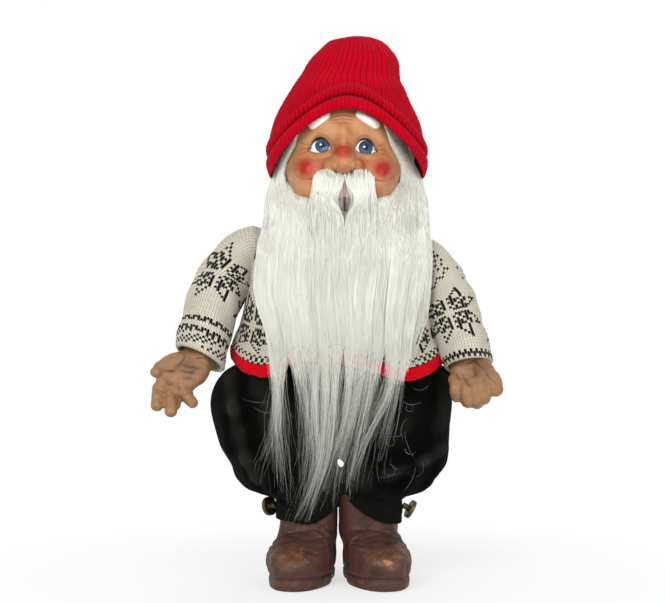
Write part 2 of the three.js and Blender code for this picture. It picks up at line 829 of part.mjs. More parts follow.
for (const [name, side] of [["left", -1], ["right", 1]]) {
  const arm = armFrame(side, armSplay[name], shoulderReach[name]);
  part(figure, `sleeve_${name}`, sleeveGeometry(arm), creamKnit);
  part(figure, `arm_stuffing_${name}`, armStuffing(arm), fibreFill);
  part(figure, `arm_wire_${name}`, wireGeometry(arm), steelWire);
  const wristGroup = new THREE.Group();
  wristGroup.position.copy(arm.wrist);
  wristGroup.quaternion.setFromUnitVectors(zAxis.clone().negate(), arm.down);
  figure.add(wristGroup);
  part(wristGroup, `hand_${name}`, handGeometry(side, fingerCurl[name]), skinPaint);
  const tieInner = stubGrooveRadius + clearance + 1.4 + clearance;
  part(
    wristGroup,
    `wrist_tie_${name}`,
    turned(ringProfile(tieInner, tieInner + tieThickness, 3.6, 3.6 + tieWidth), 16),
    nylonTie,
  );
}

// Head: a hollow casting with a painted face, on a neck that turns on the spine rod
const headGroup = new THREE.Group();
headGroup.position.z = headPivot;
figure.add(headGroup);
const tilt = new THREE.Matrix4().makeRotationY(radians(headRoll));
const tiltGroup = new THREE.Group();
tiltGroup.rotation.y = radians(headRoll);
headGroup.add(tiltGroup);

// Relief of the face: bumps at an azimuth and an elevation seen from the head's middle, in degrees
const faceBumps = [
  { at: [0, -15], spread: [9, 10], height: 14 },
  { at: [0, 4], spread: [7, 13], height: 6 },
  { at: [11, -20], spread: [6, 6], height: 4 },
  { at: [31, -24], spread: [17, 15], height: 7 },
  { at: [21, -2], spread: [11, 8], height: -5 },
  { at: [21, -4], spread: [7, 5], height: 3.4 },
  { at: [25, 20], spread: [14, 6], height: 2.8 },
  { at: [0, -46], spread: [38, 20], height: 15 },
];

function faceRelief(azimuth, elevation) {
  const bump = (at, spread) =>
    Math.exp(-(((azimuth - at[0]) / spread[0]) ** 2) - ((elevation - at[1]) / spread[1]) ** 2);
  return faceBumps.reduce((sum, { at, spread, height }) => {
    const mirrored = at[0] ? bump([-at[0], at[1]], spread) : 0;
    return sum + height * (bump(at, spread) + mirrored);
  }, 0);
}

function headBlank(inset, columns, rows, relief, crowding = 1.4) {
  const rings = steps(-84, 84, rows).map((elevation) =>
    [...Array(columns).keys()].map((i) => {
      const turn = (2 * i) / columns - 1;
      const azimuth = 180 * Math.sign(turn) * Math.abs(turn) ** crowding;
      const [a, e] = [radians(azimuth), radians(elevation)];
      const grow = relief(azimuth, elevation) - inset;
      return point(
        (headHalfWidth + grow) * Math.sin(a) * Math.cos(e),
        -(headHalfDepth + grow) * Math.cos(a) * Math.cos(e),
        headCentre + (headHalfHeight + grow) * Math.sin(e),
      );
    }),
  );
  return loft(rings);
}

const neckBottom = -6;
const neck = turned(
  [
    [0, neckBottom],
    [neckRadius - 0.6, neckBottom],
    [neckRadius, neckBottom + 0.5],
    [neckRadius, neckBottom + 2],
    [neckRadius - neckGroove, neckBottom + 2.6],
    [neckRadius - neckGroove, collarHeight + 1],
    [neckRadius, collarHeight + 3],
    [neckRadius, neckLength],
    [0, neckLength],
  ].map(([r, z]) => new THREE.Vector2(r, z)),
  28,
);
const headCast = join([headBlank(0, 36, 20, faceRelief).applyMatrix4(tilt), neck]);
const headHollow = headBlank(castWall, 14, 8, () => 0, 1).applyMatrix4(tilt);
const neckBore = post(rodRadius + clearance, neckBottom - 1, headCentre, 0, 0, 20);
part(headGroup, "head", cut(headCast, headHollow, neckBore), skinPaint);

// Hair: a fur strip round the back of the head, from temple to temple, under the hat
const skullHalfWidth = (z) =>
  Math.sqrt(Math.max(0.1, 1 - (Math.max(0, z - headCentre) / headHalfHeight) ** 2));

function hairSurface(grow) {
  return (u, v) => {
    const azimuth = radians(lerp(98, 262, u));
    const z = lerp(headCentre + 16, hatRimBack + 1.5, v);
    const narrow = skullHalfWidth(z) * (1 - 0.1 * smooth(v, 0.55, 1));
    return point(
      ((headHalfWidth + 5) * narrow + grow) * Math.sin(azimuth),
      -((headHalfDepth + 1) * narrow + grow) * Math.cos(azimuth),
      z,
    );
  };
}
part(
  tiltGroup,
  "hair_back",
  slab(hairSurface(hairThickness - 2), hairSurface(0.6), 14, 6),
  whiteFur,
);

// Hat: a knitted cap with a turned-up, rolled brim, low at the back and high over the brow
function rimHeight(azimuth) {
  const c = Math.cos(azimuth);
  return c > 0
    ? lerp(hatRimSide, hatRimFront, c * c)
    : lerp(hatRimSide, hatRimBack, c * c);
}

// Half width of the crown by its height above the widest line.
const crownSize = stations([
  [0, 0.98],
  [0.17, 1],
  [0.28, 0.985],
  [0.4, 0.925],
  [0.51, 0.835],
  [0.62, 0.735],
  [0.74, 0.625],
  [0.85, 0.54],
  [0.92, 0.46],
  [0.97, 0.36],
  [1, 0.16],
]);
const hatDepth = hatHalfWidth * 0.98;

function hatRing(share, grow) {
  const sides = 28;
  return [...Array(sides).keys()].map((i) => {
    const azimuth = (2 * Math.PI * i) / sides;
    const rim = rimHeight(azimuth);
    const z = lerp(rim, hatHeight - (grow < 0 ? hatWall : 0), share);
    const size = crownSize(THREE.MathUtils.clamp((z - hatRimSide) / (hatHeight - hatRimSide), 0, 1))[0];
    return point(
      (hatHalfWidth * size + grow) * Math.sin(azimuth),
      -(hatDepth * size + grow) * Math.cos(azimuth),
      z,
    );
  });
}

const brimShare = brimHeight / (hatHeight - hatRimSide);
const hatOutside = [
  [0, -0.4 * brimRoll],
  [0.25 * brimShare, 0.6 * brimRoll],
  [0.6 * brimShare, brimRoll],
  [0.95 * brimShare, 0.3 * brimRoll],
  [1.25 * brimShare, 0.7 * brimRoll],
  [1.7 * brimShare, 0.5 * brimRoll],
  [1.85 * brimShare, 0],
  ...steps(0.36, 0.92, 5).map((share) => [share, 0]),
  [0.97, 0],
  [1, 0],
];
const lowered = (ring) => ring.map((p) => p.clone().setZ(p.z - 3));
const hatForm = (rings) => {
  const form = rings.map(([share, grow]) => hatRing(share, grow));
  return loft([lowered(form[0]), ...form]);
};
const hatClear = hatForm(hatOutside.map(([share, grow]) => [share, grow + 1]));
const hatHollow = hatForm(steps(0, 1, 7).map((share) => [share, -hatWall]));
const hatBlank = loft(hatOutside.map(([share, grow]) => hatRing(share, grow)));
part(tiltGroup, "hat", cut(hatBlank, hatHollow), redKnit);

// Beard: a long fur curtain from temple to temple, over the chest and the trousers
const beardTop = headPivot + 60;
const beardOutline = stations(
  [
    [0, -9, 0.15],
    [0.053, -9, 0.317],
    [0.144, -6, 0.467],
    [0.236, -4, 0.608],
    [0.357, -2, 0.775],
    [0.487, 0, 0.917],
    [0.601, 1, 1],
    [0.772, 2, 1],
    [0.901, 4, 0.917],
    [1, 5, 0.833],
  ].map(([rise, middle, width]) => [lerp(beardTip, beardTop, rise), middle, width * beardHalfWidth]),
);
const jaw = (across) => headPivot + 8 + 52 * Math.abs(across) ** 2.6;

// How far forward the body reaches under the beard, at a place across and at a height.
function bodyFront(x, z) {
  const drop = hemDropFront * Math.max(0, 1 - (x / hemHalfWidth) ** 2) ** 0.75;
  const share = THREE.MathUtils.clamp((z - hemHeight + drop) / (shoulderTop - hemHeight + drop), 0, 1);
  const [halfWidth, halfDepth] = torsoSize(share);
  const chest = (halfDepth + 2.5) * Math.sqrt(Math.max(0.06, 1 - (x / (halfWidth + 8)) ** 2));
  const legs = hemHalfDepth + trimWall - knitWall + 0.4;
  const head = headHalfDepth * Math.sqrt(Math.max(0.04, 1 - (x / (headHalfWidth + 9)) ** 2));
  const below = lerp(legs, chest, smooth(z, hemHeight - hemDropFront + trimHeight, hemHeight + 10));
  return lerp(Math.max(below, chest), head, smooth(z, shoulderTop - 30, shoulderTop + 10));
}

function beardSurface(depth) {
  return (u, v) => {
    const across = 2 * u - 1;
    const foot = beardTip + 46 * Math.abs(across) ** 2.2;
    const z = lerp(jaw(across), foot, v);
    const [middle, halfWidth] = beardOutline(z);
    const edge = (halfWidth * Math.sin(1.35 * across)) / Math.sin(1.35);
    const root = (headHalfWidth + 2) * Math.sin((Math.PI / 2) * across);
    const x = middle + lerp(root, edge, smooth(v, 0, 0.16));
    const locks = 1.1 * smooth(v, 0.1, 0.5) * Math.sin(26 * across);
    const thin = lerp(0.35, 1, smooth(v, 0, 0.2)) * (1 - 0.45 * smooth(v, 0.45, 1));
    const lift = 1.6 + (depth ? beardThickness * thin + locks : 0);
    return point(x, -(bodyFront(x - middle * smooth(z, headPivot, beardTop), z) + lift), z);
  };
}
const beardBlank = slab(beardSurface(1), beardSurface(0), 17, 14);
const headClear = headBlank(-1, 36, 20, faceRelief);
const toFigure = new THREE.Matrix4().makeTranslation(0, 0, headPivot).multiply(tilt);
const beard = mainBody(
  cut(beardBlank, headClear.clone().applyMatrix4(toFigure), hatClear.clone().applyMatrix4(toFigure)),
).translate(0, 0, -headPivot);
part(headGroup, "beard", beard, whiteFur);

// Moustache: two lobes that meet under the nose and hang down into the beard
function moustacheLobe(side) {
  const front = -headHalfDepth - 0.6 * moustacheRadius;
  const at = (across, forward, rise) =>
    point(
      side * across * moustacheHalfWidth,
      front - forward * moustacheRadius,
      headCentre + rise * headHalfHeight,
    );
  return taperedLimb(
    [at(-0.18, 0, -0.53), at(0.42, 0.24, -0.52), at(0.85, 0.3, -0.74), at(1, 0.7, -1.2)],
    [0.7, 0.94, 1, 0.66].map((share) => share * moustacheRadius),
    10,
  );
}
const moustacheTools = [
  headClear,
  beardBlank.clone().applyMatrix4(toFigure.clone().invert()),
];
part(
  tiltGroup,
  "moustache",
  mainBody(cut(join([moustacheLobe(-1), moustacheLobe(1)]), ...moustacheTools)),
  whiteFur,
);

// Fibre wad that keeps the top of the hat standing
const skullTop = headCentre + headHalfHeight;
const wad = loft(
  steps((skullTop - 12 - hatRimSide) / (hatHeight - hatRimSide), 0.85, 4).map((share) => {
    const z = lerp(hatRimSide, hatHeight, share);
    const size = crownSize(share)[0];
    const inset = hatWall + 3;
    return levelOval(0, 0, z, hatHalfWidth * size - inset, hatDepth * size - inset, 20);
  }),
);
part(
  tiltGroup,
  "hat_stuffing",
  cut(wad, headBlank(-clearance, 36, 20, faceRelief)),
  fibreFill,
);

// The origin lies on the floor, under the middle of the figure's box
const box = new THREE.Box3().setFromObject(figure, true);
const middle = box.getCenter(new THREE.Vector3());
figure.position.set(-middle.x, -middle.y, -box.min.z);

export default figure;
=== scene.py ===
import json
import math

import bpy
import numpy as np
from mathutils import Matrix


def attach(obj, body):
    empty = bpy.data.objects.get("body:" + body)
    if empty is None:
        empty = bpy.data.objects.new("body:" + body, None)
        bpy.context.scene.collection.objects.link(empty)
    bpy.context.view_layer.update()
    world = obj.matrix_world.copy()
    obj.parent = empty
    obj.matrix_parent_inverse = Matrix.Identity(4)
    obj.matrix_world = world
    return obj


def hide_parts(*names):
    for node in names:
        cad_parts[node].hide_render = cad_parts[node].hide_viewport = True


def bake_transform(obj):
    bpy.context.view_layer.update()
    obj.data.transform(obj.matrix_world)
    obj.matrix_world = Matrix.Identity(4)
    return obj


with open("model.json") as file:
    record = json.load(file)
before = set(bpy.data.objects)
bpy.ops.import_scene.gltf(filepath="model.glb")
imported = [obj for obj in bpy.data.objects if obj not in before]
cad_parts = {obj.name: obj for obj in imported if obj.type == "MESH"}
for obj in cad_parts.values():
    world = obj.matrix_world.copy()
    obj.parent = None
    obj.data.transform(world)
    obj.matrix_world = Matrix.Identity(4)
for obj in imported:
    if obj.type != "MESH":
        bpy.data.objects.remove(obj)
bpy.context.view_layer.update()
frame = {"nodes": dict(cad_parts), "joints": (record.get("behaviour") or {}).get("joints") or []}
bpy.ops.object.select_all(action="DESELECT")
neckJoint = next(j for j in frame["joints"] if j["name"] == "neck_turn")
figureOffset = np.array([neckJoint["pos_m"][0], neckJoint["pos_m"][1], 0.0])


# Camera, light and floor
studio = {
    "cameraHeight": 0.2041, "cameraBack": 1.150, "cameraSide": -0.0048, "lens": 84.34, "sensor": 36,
    "worldLight": 0.6, "floorDiffuse": 0.86, "floorRadius": 3.0, "floorSides": 96,
    "floorGlow": {"From Min": 0.1, "From Max": 0.34, "To Min": 0.62, "To Max": 1.0},  # by distance from feet
    "lamps": [  # name, place, target, power, size
        ("keyLight", (-0.55, -1.3, 0.95), (0, 0, 0.22), 15.0, 0.9),
        ("fillLight", (0.85, -1.1, 0.5), (0, 0, 0.2), 7.0, 1.0),
        ("backLight", (0.3, 1.1, 0.9), (0, 0, 0.25), 5.0, 0.9)],
}


def addObject(name, data, place=(0, 0, 0), turn=(0, 0, 0)):
    thing = bpy.data.objects.new(name, data)
    bpy.context.scene.collection.objects.link(thing)
    thing.location, thing.rotation_euler = place, turn
    return thing


def setInputs(tree, node, inputs):  # each input is a number, a colour or the output of another node
    for key, value in inputs.items():
        if isinstance(value, bpy.types.NodeSocket):
            tree.links.new(value, node.inputs[key])
        else:
            node.inputs[key].default_value = value


def addNode(tree, kind, inputs=None, **settings):
    node = tree.nodes.new("ShaderNode" + kind)
    for key, value in settings.items():
        setattr(node, key, value)
    setInputs(tree, node, inputs or {})
    return node


def joined(tree, operation, a, b):
    return addNode(tree, "Math", {0: a, 1: b}, operation=operation).outputs[0]


def setCamera():
    scene = bpy.context.scene
    scene.view_settings.view_transform = "Standard"
    camera = bpy.data.cameras.new("camera")
    camera.lens, camera.sensor_width = studio["lens"], studio["sensor"]
    place = figureOffset + [studio["cameraSide"], -studio["cameraBack"], studio["cameraHeight"]]
    scene.camera = addObject("camera", camera, place, (math.pi / 2, 0, 0))


def setWorld():  # white where it is seen or mirrored, softer as a light
    world = bpy.data.worlds.new("studio")
    world.use_nodes = True
    bpy.context.scene.world = world
    tree = world.node_tree
    ray = addNode(tree, "LightPath").outputs
    mirrored = joined(tree, "MAXIMUM", ray["Is Glossy Ray"], ray["Is Transmission Ray"])
    seen = joined(tree, "MAXIMUM", ray["Is Camera Ray"], mirrored)
    level = addNode(tree, "MapRange", {"Value": seen, "To Min": studio["worldLight"], "To Max": 1.0})
    setInputs(tree, tree.nodes["Background"], {"Color": (1, 1, 1, 1), "Strength": level.outputs[0]})


def addLamp(name, place, target, power, size):
    light = bpy.data.lights.new(name, "AREA")
    light.energy, light.size = power, size
    aim = np.array(target) - np.array(place)
    tilt = math.atan2(math.hypot(aim[0], aim[1]), -aim[2])
    addObject(name, light, place, (tilt, 0, math.atan2(aim[1], aim[0]) - math.pi / 2))


def setFloor():  # white paper that takes a shadow near the feet
    bpy.ops.mesh.primitive_circle_add(vertices=studio["floorSides"], radius=studio["floorRadius"],
                                      fill_type="NGON", location=(0, 0, 0))
    floor = bpy.context.object
    floor.name = "floor"
    paper = bpy.data.materials.new("palePaper")
    paper.use_nodes = True
    tree = paper.node_tree
    shader = tree.nodes["Principled BSDF"]
    setInputs(tree, shader, {"Base Color": (studio["floorDiffuse"],) * 3 + (1,), "Roughness": 1.0,
                             "Specular IOR Level": 0.0})
    where = addNode(tree, "TexCoord").outputs["Object"]
    reach = addNode(tree, "VectorMath", {0: where}, operation="LENGTH").outputs["Value"]
    glow = addNode(tree, "MapRange", {"Value": reach, **studio["floorGlow"]}, interpolation_type="SMOOTHSTEP")
    ray = addNode(tree, "LightPath").outputs
    seen = joined(tree, "MAXIMUM", ray["Is Camera Ray"], ray["Is Glossy Ray"])
    share = joined(tree, "MULTIPLY", glow.outputs[0], seen)
    white = addNode(tree, "Emission")
    blend = addNode(tree, "MixShader", {0: share, 1: shader.outputs[0], 2: white.outputs[0]})
    setInputs(tree, tree.nodes["Material Output"], {"Surface": blend.outputs[0]})
    floor.data.materials.append(paper)


setCamera()
setWorld()
for row in studio["lamps"]:
    addLamp(*row)
setFloor()
print("studio is set")


# Shared helpers: sizes are millimetres in the figure's own frame, x to the viewer's right, y away, z up
mergeDistance = 2e-6


def toFrame(points):
    return np.asarray(points, float) / 1000 + figureOffset


def unit(x):  # held between 0 and 1
    return np.clip(x, 0, 1)


def ease(x, low, high):  # a soft step up
    t = unit((np.asarray(x, float) - low) / (high - low))
    return t * t * (3 - 2 * t)


def fall(x, low, high):  # a soft step down
    return 1 - ease(x, low, high)


def bell(x, width, z=0.0, height=1.0):  # 1 in the middle and less around it, in one or two directions
    return np.exp(-(x / width) ** 2 - (z / height) ** 2)


def signed(x, power):  # a power that keeps the sign
    return np.sign(x) * np.abs(x) ** power


def mix(a, b, t):
    return a + (b - a) * t


def fullTurn(u):
    return 2 * math.pi * (u % 1)


def radial(angle):  # straight out from the upright axis
    return np.column_stack([np.cos(angle), np.sin(angle), np.zeros_like(angle)])


def spun(points, angle):  # turned about the upright axis
    x, y, z = points.T
    c, s = math.cos(angle), math.sin(angle)
    return np.column_stack([x * c - y * s, x * s + y * c, z])


def turnAbout(points, axis, angle):  # turned about any axis
    axis = axis / np.linalg.norm(axis)
    return (points * math.cos(angle) + np.cross(axis, points) * math.sin(angle)
            + (points @ axis)[..., None] * axis * (1 - math.cos(angle)))


def lengthAlong(line):  # the way covered up to each point of a line
    return np.concatenate([[0], np.cumsum(np.linalg.norm(np.diff(line, axis=0), axis=1))])


def nearSegment(x, z, start, end):  # how far away a straight line is, and how far along it
    a, b = np.array(start), np.array(end)
    along = b - a
    t = unit(((x - a[0]) * along[0] + (z - a[1]) * along[1]) / (along @ along))
    return np.hypot(x - a[0] - t * along[0], z - a[1] - t * along[1]), t


def tone(red, green, blue):  # a screen colour in linear light
    c = np.array([red, green, blue]) / 255
    return np.where(c <= 0.04045, c / 12.92, ((c + 0.055) / 1.055) ** 2.4)


def plain(colour, count):  # one colour for every point
    return np.repeat(colour[None], count, axis=0)


def curveThrough(table):  # a smooth curve through rows of [position, value, value ...]
    rows = np.array(table, float)
    x, values = rows[:, 0], rows[:, 1:]
    before = np.maximum(np.arange(len(x)) - 1, 0)
    after = np.minimum(np.arange(len(x)) + 1, len(x) - 1)
    slopes = (values[after] - values[before]) / (x[after] - x[before])[:, None]

    def read(at):
        at = np.asarray(at, float)
        i = np.clip(np.searchsorted(x, at, "right") - 1, 0, len(x) - 2)
        span = x[i + 1] - x[i]
        t = unit((at - x[i]) / span)[..., None]
        curve = mix(values[i], values[i + 1], t * t * (3 - 2 * t))
        curve = curve + span[..., None] * (slopes[i] * t * (1 - t) ** 2 - slopes[i + 1] * t * t * (1 - t))
        return np.moveaxis(curve, -1, 0)

    return read


def ripple(points, wave, seed):  # soft irregular waves, about -1 to 1
    rng = np.random.default_rng(seed)
    total = 0
    for _ in range(6):
        along = rng.normal(size=3)
        along *= 2 * math.pi / wave * rng.uniform(0.6, 1.5) / np.linalg.norm(along)
        total = total + np.sin(points @ along + rng.uniform(0, 6.28))
    return total / 2.6


def deselect():
    if bpy.context.object and bpy.context.object.mode != "OBJECT":
        bpy.ops.object.mode_set(mode="OBJECT")
    bpy.ops.object.select_all(action="DESELECT")


def activate(piece):
    deselect()
    piece.select_set(True)
    bpy.context.view_layer.objects.active = piece


def applyModifier(piece, kind, **settings):
    activate(piece)
    modifier = piece.modifiers.new(kind.lower(), kind)
    for key, value in settings.items():
        setattr(modifier, key, value)
    bpy.ops.object.modifier_apply(modifier=modifier.name)


def readRows(source, key, count):  # three numbers for each point
    flat = np.empty(count * 3, np.float32)
    source.foreach_get(key, flat)
    return flat.reshape(-1, 3).astype(float)


def pointsOf(piece):
    return readRows(piece.data.vertices, "co", len(piece.data.vertices))


def normalsOf(piece):
    return readRows(piece.data.vertex_normals, "vector", len(piece.data.vertices))


def setPoints(piece, points):
    piece.data.vertices.foreach_set("co", np.asarray(points, np.float32).ravel())
    piece.data.update()


def inFigure(piece):  # a piece's points back in figure millimetres
    return (pointsOf(piece) - figureOffset) * 1000


def withAlpha(colours):
    return np.hstack([colours, np.ones((len(colours), 1))]).astype(np.float32).ravel()


def addLayer(piece, name, values):  # one colour or number for each point
    values = np.asarray(values, np.float32)
    if values.ndim == 1:
        layer = piece.data.attributes.new(name, "FLOAT", "POINT")
        layer.data.foreach_set("value", values)
    else:
        layer = piece.data.attributes.new(name, "FLOAT_COLOR", "POINT")
        layer.data.foreach_set("color", withAlpha(values))


def tidyMesh(piece):
    activate(piece)
    bpy.ops.object.mode_set(mode="EDIT")
    bpy.ops.mesh.select_all(action="SELECT")
    bpy.ops.mesh.remove_doubles(threshold=mergeDistance)
    bpy.ops.mesh.normals_make_consistent(inside=False)
    bpy.ops.object.mode_set(mode="OBJECT")


def gridPiece(name, columns, rows, place):  # a grid wrapped to a shape, with its seams closed
    deselect()
    bpy.ops.mesh.primitive_grid_add(x_subdivisions=columns, y_subdivisions=rows, size=2)
    piece = bpy.context.object
    piece.name = piece.data.name = name
    flat = pointsOf(piece)
    points, layers = place((flat[:, 0] + 1) / 2, (flat[:, 1] + 1) / 2)
    setPoints(piece, toFrame(points))
    for key, values in layers.items():
        addLayer(piece, key, values)
    tidyMesh(piece)
    return piece


def joinPieces(pieces, name):
    deselect()
    for piece in pieces:
        piece.select_set(True)
    bpy.context.view_layer.objects.active = pieces[0]
    bpy.ops.object.join()
    pieces[0].name = pieces[0].data.name = name
    return pieces[0]


def finishPiece(piece, material, body, slot, *nodes):
    activate(piece)
    bpy.ops.object.shade_smooth()
    piece.data.materials.clear()
    piece.data.materials.append(material)
    if body:
        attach(piece, body)
    if nodes:
        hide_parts(*nodes)
    print(piece.name, "done,", len(piece.data.polygons), "faces")


# Materials: a colour, or the piece's own paint, mottled, with a fine grain
class Finish:
    def __init__(self, name, colour=None, **sockets):
        self.material = bpy.data.materials.new(name)
        self.material.use_nodes = True
        self.tree = self.material.node_tree
        self.shader = self.tree.nodes["Principled BSDF"]
        setInputs(self.tree, self.shader, sockets)
        self.where = addNode(self.tree, "TexCoord").outputs["Object"]
        self.base = self.layer("paint", "Color") if colour is None else (*colour, 1)
        self.normal = {}

    def layer(self, name, output):
        return addNode(self.tree, "Attribute", attribute_name=name).outputs[output]

    def noise(self, scale, detail=3, stretch=None):
        source = self.where
        if stretch:
            source = addNode(self.tree, "Mapping", {"Vector": source, "Scale": stretch}).outputs[0]
        inputs = {"Vector": source, "Scale": scale, "Detail": detail}
        return addNode(self.tree, "TexNoise", inputs).outputs["Fac"]

    def span(self, value, low, high):  # the middle of a noise, spread from low to high
        inputs = {"Value": value, "From Min": 0.3, "From Max": 0.7, "To Min": low, "To Max": high}
        return addNode(self.tree, "MapRange", inputs).outputs[0]

    def mottle(self, scale, depth, detail=4, stretch=None):  # darker and lighter patches
        patches = self.span(self.noise(scale, detail, stretch), 1 - depth, 1.0)
        self.base = addNode(self.tree, "Mix", {0: 1.0, 6: self.base, 7: patches}, data_type="RGBA",
                            blend_type="MULTIPLY").outputs[2]
        return self

    def dulled(self, source):
        setInputs(self.tree, self.shader, {"Roughness": source})
        return self

    def rough(self, low, high, scale):
        return self.dulled(self.span(self.noise(scale), low, high))

    def grain(self, scale, distance, strength=0.6, detail=3, stretch=None):
        inputs = {"Strength": strength, "Distance": distance, "Height": self.noise(scale, detail, stretch)}
        self.normal = {"Normal": addNode(self.tree, "Bump", {**inputs, **self.normal}).outputs[0]}
        return self

    def done(self):
        setInputs(self.tree, self.shader, {"Base Color": self.base, **self.normal})
        return self.material


woolSockets = {"Roughness": 0.95, "Sheen Weight": 0.03, "Sheen Roughness": 0.5, "Specular IOR Level": 0.05}
feltSockets = {"Roughness": 1.0, "Sheen Weight": 0.015, "Specular IOR Level": 0.02}
furSockets = {"Roughness": 0.55, "Specular IOR Level": 0.3, "Sheen Weight": 0.15}


def polish(level):
    return {"Specular IOR Level": level}


capKnit = Finish("redCapKnit", None, **woolSockets).mottle(900, 0.18).mottle(60, 0.1).grain(
    2600, 0.0005, 0.7).done()
patternKnit = Finish("patternKnit", None, **woolSockets).mottle(1200, 0.12).mottle(40, 0.06).grain(
    3000, 0.0004, 0.6).done()
redFelt = Finish("redFelt", tone(210, 6, 27), **woolSockets).mottle(700, 0.22).grain(2200, 0.0006, 0.8).done()
# the trousers' felt takes its colour from the piece's paint, with painted highlights on the fold ridges
blackFelt, ridgeLitFelt = [
    Finish(name, colour, **feltSockets).mottle(90, 0.3).mottle(900, 0.3).grain(1800, 0.0006, 0.7).done()
    for name, colour in (("blackFelt", tone(24, 24, 22)), ("blackFeltPaintedRidgeLight", None))]
furFibre = Finish("whiteFur", None, **furSockets).mottle(60, 0.06).done()
facePaint = Finish("paintedFace", None, **polish(0.28)).mottle(260, 0.08).grain(900, 0.0002, 0.25)
facePaint = facePaint.dulled(facePaint.layer("dullness", "Fac")).done()
handPaint = Finish("paintedHands", None, **polish(0.35)).mottle(160, 0.14).rough(0.42, 0.6, 120).grain(
    700, 0.0003, 0.3).done()
bootPaint = Finish("bootPaint", None, **polish(0.3)).mottle(220, 0.25).mottle(60, 0.2).rough(
    0.45, 0.75, 150).grain(900, 0.0004, 0.45).grain(160, 0.0006, 0.25).done()
oldBrass = Finish("oldBrass", tone(112, 96, 64), Metallic=0.9).mottle(500, 0.5).rough(0.28, 0.6, 400).grain(
    1500, 0.0002, 0.4).done()
paleWood = Finish("paleWood", tone(205, 168, 118), **polish(0.3)).mottle(120, 0.25, 5, (1, 1, 0.08)).rough(
    0.55, 0.75, 200).grain(400, 0.0003, 0.3, 4, (1, 1, 0.06)).done()
steelWire = Finish("steelWire", tone(150, 152, 156), Metallic=0.95).mottle(700, 0.2).rough(
    0.25, 0.45, 500).done()
nylonTie = Finish("nylonTie", tone(216, 216, 210), **polish(0.4)).mottle(500, 0.1).rough(0.4, 0.6, 300).grain(
    900, 0.0002, 0.3).done()
for material, nodes in (
        (paleWood, ("leg_rod_left", "leg_rod_right", "hip_block", "spine_rod", "shoulder_bar")),
        (steelWire, ("arm_wire_left", "arm_wire_right")),
        (nylonTie, ("neck_tie", "wrist_tie_left", "wrist_tie_right"))):
    for node in nodes:
        frame["nodes"][node].data.materials.clear()
        frame["nodes"][node].data.materials.append(material)
print("materials are made")


# Hat: ribbed knit cap with a rolled edge and a ridge above it
hat = {
    "ribs": 108, "ribDepth": 0.8, "rows": 150, "wall": 3.2, "lining": 12.0, "edge": 20.0,
    "rimFront": 340.0, "rimSide": 295.0, "rimBack": 279.0, "depthShare": 0.965,
    "liningShare": 0.05, "edgeShare": 0.27,  # share of the rows up to the rim, and up to the end of the roll
    # deep is the colour of the painted shade in the cap's grooves
    "bright": tone(193, 0, 30), "deep": tone(98, 0, 14),
    "tucks": [  # angle, width, depth
        (0.6, 0.10, 2.0), (-0.5, 0.09, 1.6), (2.4, 0.14, 2.2), (-2.2, 0.12, 2.0)],
    "outline": [  # height, middle, half width
        [272, 5.2, 55], [279, 5.5, 55.8], [295, 6.0, 56.9], [304, 5.9, 58.2], [313, 5.9, 58.6],
        [325, 5.3, 56.6], [337, 5.5, 53.0], [348.4, 5.9, 47.9], [360, 6.8, 42.4], [366, 7.0, 38.7],
        [372, 8.6, 35.8], [378, 10.0, 33.8], [384, 10.9, 30.6], [390, 11.4, 25.8], [395.4, 11.5, 20.6],
        [397.6, 11.4, 16.2], [399.0, 14.4, 9], [399.6, 16.2, 0.01]],
    "edgeRelief": [  # height above the rim, how far it stands out
        [0, -2.2], [1.2, 0.9], [3.5, 3.3], [6.2, 4.2], [8.8, 3.2], [10.7, -1.0], [12.2, 1.6], [14.2, 3.8],
        [16.6, 3.9], [18.6, 2.0], [20.2, -0.1], [21.5, -0.4], [26, 0]],
}


